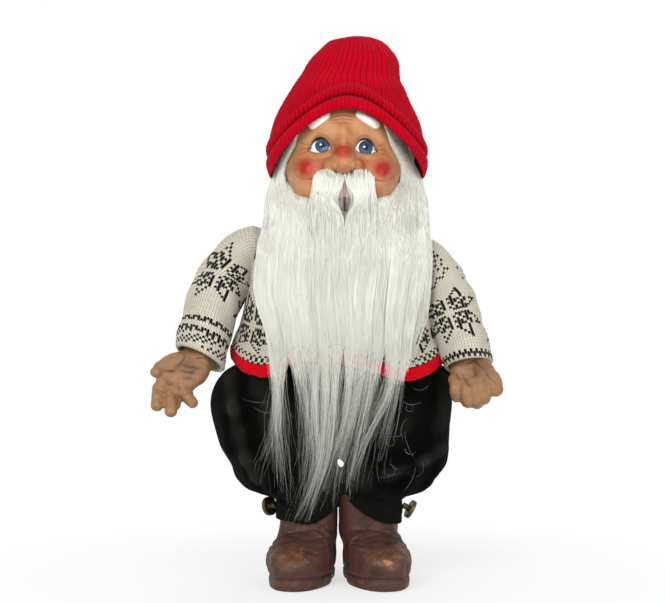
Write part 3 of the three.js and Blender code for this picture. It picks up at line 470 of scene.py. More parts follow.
def hatPlace(u, v):
    turn = fullTurn(u)
    c = np.cos(turn)
    rim = hat["rimSide"] + (np.where(c > 0, hat["rimFront"], hat["rimBack"]) - hat["rimSide"]) * c * c
    table = np.array(hat["outline"])
    length = lengthAlong(table[:, [0, 2]])
    profile = curveThrough(np.column_stack([length, table]))
    lining, edge = hat["liningShare"], hat["edgeShare"]
    inside = v < lining
    climb = np.where(inside, hat["lining"] * (1 - v / lining), hat["edge"] * (v - lining) / (edge - lining))
    start = np.interp(rim + np.minimum(climb, hat["edge"]), table[:, 0], length)
    z, middle, half = profile(mix(start, length[-1], unit((v - edge) / (1 - edge))))
    above = z - rim
    onEdge = above / (1 + 0.4 * (1 - c * c))  # the rolls spread toward the sides
    relief = curveThrough(hat["edgeRelief"])(np.clip(onEdge, 0, 26))[0]
    relief = np.where(inside, -hat["wall"] * ease(lining - v, 0, 0.02) - 1.2, relief)
    relief *= mix(0.3, 1, np.where(c > 0, c * c, 0.6 * c * c))
    rib = np.abs(np.cos(math.pi * hat["ribs"] * u)) ** 0.8
    # in the crown every second groove is shallow
    shallow = (np.floor(hat["ribs"] * u + 1e-6).astype(int) % 2 == 0) * ease(z, 354, 366)
    rib = mix(rib, mix(0.75, 1, rib), shallow)
    onRoll = 1 - 0.5 * fall(onEdge, 10, 12.5)
    nearTip = unit(half / 20)
    points = np.column_stack([middle + half * np.sin(turn), 1 - hat["depthShare"] * half * c, z])
    points[:, 2] += 0.5 * ripple(points, 40, 3) * ease(above, 24, 40) * nearTip
    bulge = 0.9 * ripple(points, 34, 4) * ease(above, 22, 36) + 0.16 * ripple(points, 3.2, 9)
    for angle, width, depth in hat["tucks"]:  # they run down from the crown
        off = (turn - angle + math.pi) % (2 * math.pi) - math.pi
        bulge -= depth * bell(off, width) * ease(z, 352, 378) * unit(half / 12)
    ribHeight = hat["ribDepth"] * (rib - 0.6) * unit(half / 30) * onRoll
    grow = relief + bulge * nearTip + np.where(inside, 0, ribHeight)
    points[:, 0] += grow * np.sin(turn)
    points[:, 1] -= grow * c
    # painted shade: darker down in the rib grooves and in the groove between the roll and the ridge
    low = 0.55 * (1 - rib) * onRoll + 0.5 * bell(onEdge - 10.9, 1.0)
    return points, {"paint": mix(hat["bright"], hat["deep"], unit(low)[:, None])}


capPiece = gridPiece("knitCap", hat["ribs"] * 4, hat["rows"], hatPlace)
finishPiece(capPiece, capKnit, "head", "red_knit", "hat", "hat_stuffing")


# Head: a cast head with a painted face; places on the face are read straight from the front
head = {
    "columns": 330, "rows": 270, "middle": (3.0, 0.0, 317.0), "half": (43.0, 45.0, 45.0),
    "neckShare": 0.1, "neckRadius": 19.4, "neckX": 1.0, "neckTop": 276, "neckEnd": 259.5,
    "viewDistance": 1150.0, "viewHeight": 204.1, "dull": 0.46, "cheekDull": 0.32, "eyeDull": 0.12,
    "bumps": [  # azimuth, elevation, spreads, height
        (0, -16, 9, 9.5, 12.5), (0, -4, 7, 7, 3.0), (0, 4, 6, 12, 5), (12.5, -20, 5.5, 6, 6),
        (34, -24, 15, 14, 7.5), (74, -26, 26, 16, 4.5), (21, -1, 11, 9, -5.5), (21, -3, 8, 6.5, 3.8),
        (24, 21, 15, 7, 2.5), (46, -40, 25, 15, 8.5), (0, -46, 38, 20, 15)],
    "eyes": [(-14.0, 318.9, -12.7, 319.3), (19.2, 318.1, 19.7, 317.6)],  # the eye, then its iris
    "eyeHalfWidth": 7.8, "upperLid": 8.1, "lowerLid": 2.4, "cornerDrop": 2.6, "irisRadius": 5.5,
    "pupilRadius": 1.9, "crowFeet": (-0.55, -0.1, 0.35), "wrinkles": (341.9, 339.2, 336.6), "wrinkleX": 2.6,
    "brows": [((-19.4, 334.2), (-9.8, 341.6)), ((15.2, 342.4), (26.6, 334.6))],
    "nose": (2.5, 315.4), "noseTip": (3.0, 308.6), "wing": (10.0, -4.2, 5.2),  # wings: out, up, radius
    "cheeks": [(-23.6, 303.4), (31.0, 302.2)], "cheekRing": 10.5, "mouth": (3.9, 277.5),
    "skin": tone(192, 143, 99), "warm": tone(170, 110, 70), "red": tone(162, 24, 6),
    "white": tone(244, 243, 238), "whiteShade": tone(150, 130, 120), "lidLine": tone(40, 30, 28),
    "iris": tone(46, 68, 98), "irisLight": tone(84, 114, 152), "irisDark": tone(16, 25, 42),
    "pupil": tone(10, 10, 12), "glint": tone(250, 250, 250), "lips": tone(176, 66, 58),
    # crease paints the lower-lid lines, and painted shade in the folds and wrinkles of the relief
    "crease": tone(140, 88, 58), "mouthDark": tone(46, 20, 18),
}


def frontView(points):  # where a point is seen from the front, in millimetres at the middle of the figure
    near = (head["viewDistance"] + points[:, 1]) / head["viewDistance"]
    return points[:, 0] / near, head["viewHeight"] + (points[:, 2] - head["viewHeight"]) / near


def eyeShape(x, z, eye):  # across the eye, and how far inside each lid
    t = (x - eye[0]) / head["eyeHalfWidth"]
    corner = -head["cornerDrop"] - 0.8 * t * np.sign(eye[0])
    upper = corner + head["upperLid"] * unit(1 - np.abs(t) ** 2.2) ** 0.8 - (z - eye[1])
    lower = (z - eye[1]) - corner + head["lowerLid"] * unit(1 - t * t)
    return t, upper, lower


def crowFeet(x, z, eye):  # how far away each line beside an eye is
    outer = np.sign(eye[0])
    for fan in head["crowFeet"]:
        start = (eye[0] + outer * 9.2, eye[1] - 1 + 4 * fan)
        yield nearSegment(x, z, start, (start[0] + outer * 5.5, start[1] + 6 * fan))[0]


def wrinkles(x, z, width):  # how close each line across the forehead is
    across = x - head["wrinkleX"]
    for low in head["wrinkles"]:
        line = low - 0.02 * across ** 2 + 0.3 * np.sin(x * 0.9 + low)
        yield bell(z - line, width) * fall(np.abs(across), 6, 10)


def cheekFold(x, z, cheek, width):  # how close the fold under a cheek is
    away = np.abs(np.hypot(x - cheek[0], z - cheek[1] - 1) - head["cheekRing"])
    return bell(away, width) * ease(cheek[1] - z, 3, 6)


def dome(x, z, middle, wide, tall):
    return np.sqrt(unit(1 - ((x - middle[0]) / wide) ** 2 - ((z - middle[1]) / tall) ** 2))


def faceRelief(x, z):
    tipX, tipZ = head["noseTip"]
    wingOut, wingUp, wingRadius = head["wing"]
    lift = 5.5 * dome(x, z, head["noseTip"], 9.4, 10.0)
    lift += 2.8 * np.maximum(*(dome(x, z, (tipX + side * wingOut, tipZ + wingUp), wingRadius, wingRadius)
                               for side in (-1, 1)))
    for start, end in head["brows"]:
        away, t = nearSegment(x, z, start, end)
        lift += 2.0 * np.sqrt(unit(1 - (away / (3.7 - 0.4 * np.abs(2 * t - 1))) ** 2)) ** 0.7
    for cheek in head["cheeks"]:
        lift += 2.0 * dome(x, z, (cheek[0], cheek[1] + 1), 10.6, 10.2)
        lift -= 0.5 * cheekFold(x, z, cheek, 0.7)
    for eye in head["eyes"]:
        t, upper, lower = eyeShape(x, z, eye)
        lids = 1.2 * bell(upper + 1.2, 0.9) + 0.8 * bell(lower + 0.9, 0.8) + 0.8 * bell(lower + 3.2, 1.2)
        folds = 0.5 * bell(lower + 5.2, 0.6) + 0.6 * bell(upper + 2.9, 0.6)
        lift += (lids - folds) * fall(np.abs(t), 1.0, 1.35)
        lift -= 0.35 * ease(np.minimum(upper, lower), 0, 0.8) * (np.abs(t) < 1)
        for away in crowFeet(x, z, eye):
            lift -= 0.6 * bell(away, 0.55)
    for near in wrinkles(x, z, 0.55):
        lift -= 0.42 * near
    mx, mz = head["mouth"]
    return lift - 2.2 * bell(x - mx, 6, z - mz, 2.4) + 1.8 * bell(x - mx, 7, z - mz + 5.5, 2.2)


# the face's own paint, with painted shade laid into the folds and creases of the relief
def faceColours(points, x, z, front):
    paint = plain(head["skin"], len(x))
    dull = np.full(len(x), head["dull"])

    def dab(colour, amount):
        nonlocal paint
        paint = mix(paint, head[colour], unit(amount * front)[:, None])

    dab("warm", 0.35 + 0.35 * ripple(points, 14, 21))
    nx, nz = head["nose"]
    tipX, tipZ = head["noseTip"]
    wingOut, wingUp, wingRadius = head["wing"]
    dab("warm", 0.7 * bell(x - nx, 15, z - nz + 13, 6))
    dab("red", 0.82 * fall(np.hypot((x - nx) / 9.6, (z - nz) / 6.4), 0.4, 1.25))
    for side in (-1, 1):
        dab("red", 0.5 * bell(x - nx - side * 15, 4, z - nz + 11, 4.5))
        rim = np.hypot((x - tipX - side * wingOut) / wingRadius, (z - tipZ - wingUp) / wingRadius)
        # painted shadow: a darker line round the lower rim of each nostril wing
        dab("crease", 0.55 * bell(rim - 1.05, 0.22) * ease(side * (x - tipX), 4, 9))
        # painted shade down both sides of the nose
        bridge, _ = nearSegment(x, z, (nx + side * 6.5, nz + 6), (nx + side * 8, nz - 4))
        dab("crease", 0.25 * bell(bridge, 2.4))
    for cheek in head["cheeks"]:
        away = np.hypot(x - cheek[0], z - cheek[1])
        dab("red", 0.92 * fall(away, 1.2, 9.2) + 0.3 * fall(away, 5, 15))
        dull = mix(dull, head["cheekDull"], fall(away, 4, 9) * front)
        # painted shade in the fold under the cheek
        dab("crease", 0.5 * cheekFold(x, z, cheek, 0.6))
    # painted shade in the forehead wrinkles
    for near in wrinkles(x, z, 0.5):
        dab("crease", 0.55 * near)
    for eye in head["eyes"]:
        eyeX, eyeZ, irisX, irisZ = eye
        t, upper, lower = eyeShape(x, z, eye)
        dab("crease", 0.4 * fall(np.hypot((x - eyeX) / 11.5, (z - eyeZ - 0.5) / 9), 0.72, 1.0))
        inside = ease(np.minimum(upper, lower), -0.1, 0.35) * (np.abs(t) < 1.02)
        dab("white", inside)
        dab("whiteShade", 0.5 * inside * ease(np.abs(t), 0.6, 1.0))
        reach = np.hypot(x - irisX, z - irisZ)
        streak = 0.5 + 0.5 * np.sin(17 * np.arctan2(z - irisZ, x - irisX))
        onIris = inside * fall(reach, head["irisRadius"] - 0.35, head["irisRadius"] + 0.1)
        dab("iris", onIris)
        dab("irisLight", onIris * 0.45 * streak * ease(reach, 1.8, 3.4) * ease(irisZ - z, -2, 3))
        dab("irisDark", onIris * (0.85 * ease(reach, 4.0, 5.1) + 0.35 * ease(z - irisZ, 0, 4)))
        dab("pupil", inside * fall(reach, head["pupilRadius"] - 0.3, head["pupilRadius"] + 0.2))
        dab("glint", inside * fall(np.hypot(x - irisX + 1.1, z - irisZ - 0.7), 0.5, 1.0))
        wide = fall(np.abs(t), 0.98, 1.14)
        dab("lidLine", wide * fall(np.abs(upper + 0.3), 0.65, 1.1))
        dab("crease", 0.8 * wide * fall(np.abs(lower + 0.3), 0.25, 0.7))
        outer = np.sign(eyeX)
        lash, _ = nearSegment(x, z, (eyeX + outer * 6.8, eyeZ - 1.6), (eyeX + outer * 8.8, eyeZ - 3.4))
        dab("lidLine", 0.9 * fall(lash, 0.3, 0.8))
        # painted shade in the lines beside the eye
        for away in crowFeet(x, z, eye):
            dab("crease", 0.4 * bell(away, 0.7))
        # painted shade in the folds below and above the eye
        dab("crease", 0.35 * wide * bell(lower + 5.2, 0.8))
        dab("crease", 0.45 * wide * bell(upper + 2.9, 0.7))
        dull = np.where(inside * front > 0.5, head["eyeDull"], dull)
    for start, end in head["brows"]:
        away, t = nearSegment(x, z, start, end)
        thin = 0.3 * np.abs(2 * t - 1)
        dab("white", fall(away, 3.2 - thin, 3.7 - thin))
    mx, mz = head["mouth"]
    dab("lips", 0.85 * fall(np.hypot((x - mx) / 7.5, (z - mz + 4.5) / 5.6), 0.7, 1.1))
    dab("mouthDark", fall(np.hypot((x - mx) / 6, (z - mz) / 4.0), 0.7, 1.1))
    return paint, dull


def headPlace(u, v):
    neck = head["neckShare"]
    a = math.pi * signed(2 * u - 1, 1.55)
    azimuth = np.degrees(a)
    elevation = np.interp(v, [neck, 0.22, 0.86, 1], [-62, -46, 36, 90])
    grow = np.zeros_like(u)
    for a0, e0, wide, tall, height in head["bumps"]:
        for side in ((1, -1) if a0 else (1,)):
            grow += height * bell(azimuth - side * a0, wide, elevation - e0, tall)
    e = np.radians(elevation)
    outward = np.column_stack([np.sin(a) * np.cos(e), -np.cos(a) * np.cos(e), np.sin(e)])
    points = np.array(head["middle"]) + outward * (np.array(head["half"]) + grow[:, None])
    under = unit(1 - v / neck)  # the neck below the skull
    ring = np.column_stack([head["neckX"] + head["neckRadius"] * np.sin(a), -head["neckRadius"] * np.cos(a),
                            mix(head["neckTop"], head["neckEnd"], under)])
    points = np.where(v[:, None] < neck, mix(points, ring, ease(under, 0, 0.35)[:, None]), points)
    x, z = frontView(points)
    front = ease(-points[:, 1], 4, 16)
    points = points + outward * (faceRelief(x, z) * front)[:, None]
    paint, dull = faceColours(points, x, z, front)
    return points, {"paint": paint, "dullness": dull}


headPiece = gridPiece("castHead", head["columns"], head["rows"], headPlace)
finishPiece(headPiece, facePaint, "head", "skin_casting", "head")


# Sweater: every stitch is a pair of raised legs; black stitches make stars, zigzags and speckled bands
knit = {
    "columnsPerStitch": 4, "rowsPerStitch": 2, "legHeight": 0.5, "slope": 0.62, "seed": 5,
    "cream": tone(241, 234, 214), "black": tone(17, 16, 16),
    "bodyStitches": 150, "bodyRows": 72, "sleeveStitches": 54, "sleeveRows": 60,
}
torso = {
    "hem": 163.5, "top": 265.0, "collar": 20.9, "chestAt": 0.55,
    "chest": (68.0, 47.0), "hemHalf": (79.0, 61.5),  # half width, half depth
    "dropFront": [  # place across, how far the hem hangs down there
        [-79, 0], [-74, 5.5], [-66, 10.5], [-52, 13.5], [-41, 10], [-29, 2.0], [-12, 2.5], [14, 6.5],
        [34, 13.5], [45, 15.5], [58, 13], [70, 7], [79, 0]],
    "dropBack": 6.0, "trim": 9.4, "collarTop": 270.5,
    "hemShare": 0.03, "collarShare": 0.94,  # rows below the hem's edge, and up to the collar
}
hemDrop = curveThrough(torso["dropFront"])


def torsoSize(share):
    bulge = np.maximum(0, 1 - share / torso["chestAt"]) ** 1.4
    above = np.maximum(0, (share - torso["chestAt"]) / (1 - torso["chestAt"]))
    shoulder = np.sqrt(np.maximum(0, 1 - above ** 3.6))
    halves = zip(torso["chest"], torso["hemHalf"])
    return [mix(torso["collar"], mix(chest, hemHalf, bulge), shoulder) for chest, hemHalf in halves]


def torsoPoint(share, angle, grow, lift):
    wide, deep = torsoSize(share)
    c, s = np.cos(angle), np.sin(angle)
    full = mix(0.88, 1, ease(share, 0.3, 0.9))
    drop = np.where(s < 0, hemDrop(torso["hemHalf"][0] * c)[0], torso["dropBack"] * np.maximum(0, s) ** 1.5)
    return np.column_stack([
        (wide + grow) * signed(c, full), (deep + grow) * signed(s, full),
        mix(torso["hem"], torso["top"], share) + lift - fall(share, 0, 0.55) * drop])


def knitRelief(u, v, stitches, rows):  # height of the yarn, and how the rows bend into V shapes
    across = (u * stitches) % 1
    leg = np.sin(2 * math.pi * across) ** 2
    crest = np.sin(math.pi * ((v * rows) % 1)) ** 2
    ends = ease(v, 0, 1.5 / rows) * fall(v, 1 - 1.5 / rows, 1)
    bend = knit["slope"] * (np.abs(2 * across - 1) - 0.5) / rows * ends
    return knit["legHeight"] * leg * (0.45 + 0.55 * crest), bend


def star(i, j, column, row, size):  # eight open petals round a middle, worked with gaps
    dx, dy = np.abs(i - column), np.abs(j - row)
    a, b = np.maximum(dx, dy), np.minimum(dx, dy)
    petal = (b >= 1) & (b <= size) & (a - b >= 1) & (a - b <= size)
    hollow = (b > 2) & (b < size) & (a - b > 2) & (a - b < size)
    return petal & ~hollow & ((i * 5 + j * 3) % 6 > 0)


def stars(i, j, width, height, size, shift):  # large stars in rows, with small ones between
    middle, level = width // 2, height // 2
    large = star((i - shift) % width, j % height, middle, level, size)
    return large | star((i - shift + middle) % width, (j + level) % height, middle, level, size // 2)


def zigzag(i, j, row, period, depth):
    wave = np.abs((i % period) - period // 2) * depth / (period // 2)
    return np.abs(j - row - wave) < 0.75


def speckles(i, j, low, high):
    return (j > low) & (j < high) & ((i + j) % 2 == 0) & ((i * 3 + j * 5) % 7 > 1)


def readInts(source, key, count):
    values = np.empty(count, np.int32)
    source.foreach_get(key, values)
    return values


def stitchPaint(piece, stitches, rows, isBlack):
    mesh = piece.data
    uv = np.empty(len(mesh.loops) * 2, np.float32)
    mesh.uv_layers[0].data.foreach_get("uv", uv)
    uv = uv.reshape(-1, 2).astype(float)
    totals = readInts(mesh.polygons, "loop_total", len(mesh.polygons))
    starts = readInts(mesh.polygons, "loop_start", len(mesh.polygons))
    middle = np.add.reduceat(uv, starts) / totals[:, None]
    i, j = np.floor(middle * [stitches, rows]).astype(int).T
    black = isBlack(i, j)
    rng = np.random.default_rng(knit["seed"])
    i, j = np.clip(i, 0, stitches), np.clip(j, 0, rows)
    vary = rng.uniform(0.9, 1.0, (stitches + 1, rows + 1))[i, j]
    fleck = rng.uniform(0.75, 1.0, (stitches + 1, rows + 1))[i, j]
    face = np.where(black[:, None], knit["black"], knit["cream"]) * vary[:, None]
    loops, black, fleck = (np.repeat(values, totals, axis=0) for values in (face, black, fleck))
    leg = np.sin(2 * math.pi * uv[:, 0] * stitches) ** 2
    between = np.cos(math.pi * uv[:, 0] * stitches) ** 4
    gap = np.cos(math.pi * uv[:, 1] * rows) ** 2
    # painted shade: cream stitches are darker in the grooves beside and between their raised legs
    shade = np.where(black, 1.0, 0.54 + 0.46 * unit(1.3 * leg))
    # the dark specks between cream stitches are the black yarn carried behind, deepened with painted shade in
    # the gaps
    hole = np.where(black, 0, fleck * between * gap)  # dark between cream stitches
    peek = np.where(black, 0.2 * (1 - leg) * between, 0)  # cream between black stitches
    colours = mix(loops * shade[:, None], knit["black"], hole[:, None])
    layer = mesh.color_attributes.new("paint", "FLOAT_COLOR", "CORNER")
    layer.data.foreach_set("color", withAlpha(mix(colours, knit["cream"], peek[:, None])))


def knitPiece(name, stitches, rows, place, isBlack):
    piece = gridPiece(name, stitches * knit["columnsPerStitch"], rows * knit["rowsPerStitch"], place)
    stitchPaint(piece, stitches, rows, isBlack)
    return piece


shareSteps = np.linspace(0, 1, 400)
sideClimb = lengthAlong(np.column_stack([mix(torso["hem"], torso["top"], shareSteps),
                                         sum(torsoSize(shareSteps)) / 2]))


def sweaterPlace(u, v):
    height, bend = knitRelief(u, v, knit["bodyStitches"], knit["bodyRows"])
    row = unit(v + bend)
    low, high = torso["hemShare"], torso["collarShare"]
    share = np.interp(unit((row - low) / (high - low)) * sideClimb[-1], sideClimb, shareSteps)
    angle = fullTurn(u) + math.pi / 2
    sway = ripple(np.column_stack([70 * np.cos(angle), 70 * np.sin(angle), 100 * v]), 45, 12)
    grow = height - 0.35 - 2.2 * fall(v, 0, low) + 0.7 * sway * ease(v, 0.05, 0.2) * fall(v, 0.6, 0.8)
    points = torsoPoint(share, angle, grow, 0)
    points[:, 2] += fall(share, 0, 0.25) * torso["trim"] + 0.6 * height * ease(share, 0.8, 1)
    points[:, 2] += unit((row - high) / (1 - high)) * (torso["collarTop"] - torso["top"])
    return points, {}


def bodyPattern(i, j):
    field = stars(i, j - 2, 50, 30, 5, 25) & (j > 6) & (j < 56)
    return field | zigzag(i, j, 4, 2, 1) | speckles(i, j, 0, 4) | zigzag(i, j, 58, 6, 2)


sweaterPiece = knitPiece("sweaterBody", knit["bodyStitches"], knit["bodyRows"], sweaterPlace, bodyPattern)
finishPiece(sweaterPiece, patternKnit, "body", "cream_knit", "sweater_body", "torso_stuffing")

# Sleeves, sewn into the body round the shoulder line
arms = {
    "shoulderX": 62.7, "shoulderZ": 238.0, "length": 82.0, "pitch": 21.0, "radius": (21.5, 18.4),
    "splay": {"left": 16.0, "right": 15.8}, "reach": {"left": 15.0, "right": 11.0}, "insert": 17.0,
    "insertRadius": 16.5, "wall": 2.2, "endShare": 0.1,  # rows inside the body, and rows of the turned cuff
    "longer": {"left": 1.0, "right": 6.0}, "cuffTilt": {"left": 0.2, "right": 0.15},
    "sag": {  # share of the way down, then how far up and out
        "left": [[0, 0.5, 0.0], [0.2, -1.5, 0.6], [0.45, -0.5, 3.4], [0.85, 0, 3.2], [1, 0, 1.0]],
        "right": [[0, -8.0, -1.5], [0.25, -8.6, -2.0], [0.5, -4.0, -3.0], [0.8, 0, -2.6], [1, 0, -3.0]]},
    "stars": {  # column, row, size
        "left": [(28, 22, 5), (46, 24, 3), (11, 32, 3), (11, 10, 3)],
        "right": [(28, 36, 5), (16, 21, 1), (12, 45, 2), (48, 30, 3)]},
    "seeds": {"left": 31, "right": 32},
}
sideOf = {"left": -1, "right": 1}
sleeveRadius = curveThrough([[at, mix(*arms["radius"], share)]
                             for at, share in ((0, 0), (0.3, 0.12), (0.62, 0.55), (1, 1))])


def armFrame(name):
    side, splay, pitch = sideOf[name], math.radians(arms["splay"][name]), math.radians(arms["pitch"])
    reach, length = np.array([side * arms["reach"][name], 0, 0]), arms["length"]
    shoulder = np.array([side * arms["shoulderX"], 0, arms["shoulderZ"]])
    down = np.array([side * math.sin(splay) * math.cos(pitch), -math.sin(pitch),
                     -math.cos(splay) * math.cos(pitch)])
    wrist = shoulder + reach + length * down
    forearm = wrist - 0.45 * length * down
    bendOut, bendIn = shoulder + 0.9 * reach, forearm - 0.3 * length * down
    t = np.linspace(0, 1, 160)[:, None]
    arc = ((1 - t) ** 3 * shoulder + 3 * (1 - t) ** 2 * t * bendOut
           + 3 * (1 - t) * t * t * bendIn + t ** 3 * forearm)
    line = np.vstack([arc, mix(forearm, wrist, np.linspace(0, 1, 60)[1:, None])])
    return {"side": side, "shoulder": shoulder, "down": down, "wrist": wrist, "line": line,
            "length": lengthAlong(line), "sag": curveThrough(arms["sag"][name]),
            "longer": arms["longer"][name], "tilt": arms["cuffTilt"][name]}


def armRing(arm, share):  # middle, two directions across, and the radius at a share of the way down
    at = share * arm["length"][-1]
    drop, out = (float(value[0]) for value in arm["sag"](np.array([share])))
    centre = np.array([np.interp(at, arm["length"], arm["line"][:, i]) for i in range(3)])
    radius = float(sleeveRadius(np.array([share]))[0][0])
    outward = np.array([arm["side"], 0.0, 0.0])
    reach = abs(centre[0] - arm["shoulder"][0]) / (radius + 0.5)
    full = math.acos(np.clip(outward @ arm["down"], -1, 1))
    along = turnAbout(outward, np.cross(outward, arm["down"]), min(full, math.asin(min(1, reach))))
    across = np.array([0.0, 1.0, 0.0]) - along[1] * along
    across /= np.linalg.norm(across)
    centre = centre + np.array([arm["side"] * out, 0, drop])
    centre = centre + arm["longer"] * float(ease(share, 0.5, 1)) * arm["down"]
    over = np.cross(along, across)
    over = over - np.array([0, 0, arm["tilt"] * over[0] * float(ease(share, 0.6, 1))])
    return centre, across, over, radius


def sleeveRing(arm, step):
    end = arms["endShare"]
    if step < end:  # inside the body
        into = 1 - step / end
        centre, across, over, radius = armRing(arm, 0)
        centre = centre - np.array([arm["side"] * arms["insert"] * into, 0, 0])
        radius = mix(radius, arms["insertRadius"], into)
    elif step < 1 - end:
        centre, across, over, radius = armRing(arm, (step - end) / (1 - 2 * end))
    else:  # the cuff turned in
        into = (step - 1 + end) / end
        fold = min(1, into / 0.25)
        centre, across, over, radius = armRing(arm, 1 - 0.11 * max(0, into - 0.25) / 0.75)
        centre = centre + 0.9 * math.sin(math.pi * fold) * arm["down"]
        radius -= arms["wall"] * fold
    return np.concatenate([centre, across, over, [radius]])


def sleevePlace(arm, seed):
    def place(u, v):
        height, bend = knitRelief(u, v, knit["sleeveStitches"], knit["sleeveRows"])
        steps = np.linspace(0, 1, 241)
        rings = np.array([sleeveRing(arm, step) for step in steps])
        read = np.column_stack([np.interp(unit(v + bend), steps, values) for values in rings.T])
        centre, across, over, radius = read[:, :3], read[:, 3:6], read[:, 6:9], read[:, 9]
        angle = fullTurn(u)
        ring = np.cos(angle)[:, None] * across + np.sin(angle)[:, None] * over
        folds = 0.9 * ripple(centre + ring * 20, 26, seed) * ease(v, 0.12, 0.3) * fall(v, 0.78, 0.88)
        height = np.where(v > 1 - arms["endShare"], -height, height)
        return centre + ring * (radius - 0.4 + height + folds)[:, None], {}
    return place


def sleevePattern(name):
    def isBlack(i, j):
        field = np.any([star(i, j, *place) for place in arms["stars"][name]], axis=0)
        if name == "left":
            return field | zigzag(i, j, 41, 4, 1) | zigzag(i, j, 45, 4, 1) | speckles(i, j, 46, 53)
        band = zigzag(i, j, 16, 4, 2) | speckles(i, j, 8, 15)
        return field | (band & (i > 20)) | zigzag(i, j, 51.6, 2, 1)
    return isBlack


armFrames = {name: armFrame(name) for name in sideOf}
for name in sideOf:
    piece = knitPiece("sleeve_" + name + "_knit", knit["sleeveStitches"], knit["sleeveRows"],
                      sleevePlace(armFrames[name], arms["seeds"][name]), sleevePattern(name))
    finishPiece(piece, patternKnit, "arm_" + name, "cream_knit", "sleeve_" + name, "arm_stuffing_" + name)


# Hem band of red felt
hem = {"columns": 260, "rows": 26, "height": 9.2, "outer": 0.9, "inner": -2.4, "corner": 0.45}


def boxed(x, corner):  # from 0 to 1 and back, staying longer at the ends
    return 0.5 + 0.5 * signed(x, corner)


def hemPlace(u, v):
    angle = fullTurn(u) + math.pi / 2
    section = fullTurn(v)
    grow = mix(hem["inner"], hem["outer"], boxed(np.cos(section), hem["corner"]))
    lift = hem["height"] * boxed(np.sin(section), hem["corner"])
    points = torsoPoint(np.zeros_like(u), angle, grow, lift)
    points[:, 2] += 0.25 * ripple(points, 12, 41)
    wave = 0.25 * ripple(points, 7, 42) + 0.12 * ripple(points, 2.6, 43)
    return points + radial(angle) * wave[:, None], {}


hemPiece = gridPiece("hemBand", hem["columns"], hem["rows"], hemPlace)
finishPiece(hemPiece, redFelt, "body", "red_felt", "hem_trim")


# Trousers: two full legs, joined above the crotch, gathered at the knee
trousers = {
    "columns": 96, "rows": 90, "bottom": 57, "top": 178, "shift": -5.0, "voxel": 2.1, "gather": 1.7,
    # the colour after dark is the painted highlight on raised fold ridges
    "gathers": 11, "folds": 2.2, "dark": tone(9, 9, 8), "paintedRidgeLight": tone(52, 51, 45),
    "legs": [  # height, inner edge, outer edge, half depth
        [57, 0.6, 47.0, 22.2], [60, 0.6, 48.3, 22.4], [64.6, 0.6, 64.4, 32.5], [71.9, 0.2, 72, 40.9],
        [75.5, 0.2, 74.6, 44], [79, 1.9, 76.7, 46.8], [83.4, 2.9, 78.8, 49.3], [87.8, 2.0, 81, 50.7],
        [91.5, -1.5, 83, 51.8], [96, -3, 85.2, 53], [126, -7, 89, 56], [142.1, -12, 87.5, 54],
        [152, -15, 83.5, 50], [160, -17, 73, 45], [172, -18, 64, 42], [178, -18, 60, 39]],
    "lines": [  # long soft folds: start and end across and up, depth they face, height, width
        ((-78, 150), (-75, 128), -20, 2.4, 5), ((-75, 128), (-67, 92), -20, 2.6, 5),
        ((-67, 92), (-58, 78), -20, 2.0, 5), ((-54, 140), (-46, 96), -30, 1.4, 6),
        ((74, 98), (60, 91), -16, 2.2, 4.5), ((60, 91), (34, 82), -16, 2.4, 4.5),
        ((78, 150), (74, 118), -20, 1.6, 6), ((52, 128), (38, 104), -30, 1.2, 7),
        ((-66, 150), (-50, 96), 30, 2.6, 6), ((60, 156), (44, 92), 30, 2.6, 6),
        ((10, 160), (18, 104), 30, 2.0, 5)],
}


def closed(v):  # draws both ends of a solid shape together
    return np.minimum(ease(v, 0, 0.06), fall(v, 0.94, 1))


def legPlace(side):
    def place(u, v):
        z = mix(trousers["bottom"], trousers["top"], unit((v - 0.06) / 0.88))
        inner, outer, deep = curveThrough(trousers["legs"])(z)
        angle = fullTurn(u)
        shift = trousers["shift"] * ease(z, 60, 126) * fall(z, 126, 172) + 2.4 * bell(z - 83.5, 9)
        knee = trousers["gather"] * (ease(z, 58, 66) * fall(z, 74, 104))
        gather = knee * np.sin(trousers["gathers"] * angle + side * 1.3 + 0.6 * np.sin(3 * angle))
        wide = ((outer - inner) / 2 + gather) * closed(v)
        deep = (deep + gather) * closed(v)
        return np.column_stack([side * (inner + outer) / 2 + shift + wide * np.cos(angle),
                                deep * np.sin(angle), z]), {}
    return place


def trouserFolds(piece):
    points, normals = inFigure(piece), normalsOf(piece)
    x, y, z = points.T
    body = ease(z, 62, 80) * fall(z, 150, 166)
    lift = trousers["folds"] * 0.5 * ripple(points * np.array([1, 1, 0.55]), 42, 51) * body
    lift += 0.5 * ripple(points, 15, 52) * body
    for start, end, depth, height, width in trousers["lines"]:
        away, _ = nearSegment(x, z, start, end)
        near = ease(y * np.sign(depth), -5, abs(depth))
        lift += height * (bell(away, width) - 0.5 * bell(away - 2 * width, width)) * near
    lift -= 3.0 * bell(x - 66, 22, z - 76, 12) * ease(-y, -30, 0)
    setPoints(piece, toFrame(points + normals * lift[:, None]))
    # painted highlight: the raised fold ridges are painted lighter than the rest of the felt
    paintedRidgeLight = unit(0.1 + 0.17 * lift)[:, None]
    addLayer(piece, "paint", mix(trousers["dark"], trousers["paintedRidgeLight"], paintedRidgeLight))


def growTogether(pieces, name, voxel):  # several closed shapes made one smooth skin
    piece = joinPieces(pieces, name)
    applyModifier(piece, "REMESH", mode="VOXEL", voxel_size=voxel / 1000)
    applyModifier(piece, "SMOOTH", factor=0.5, iterations=4)
    return piece


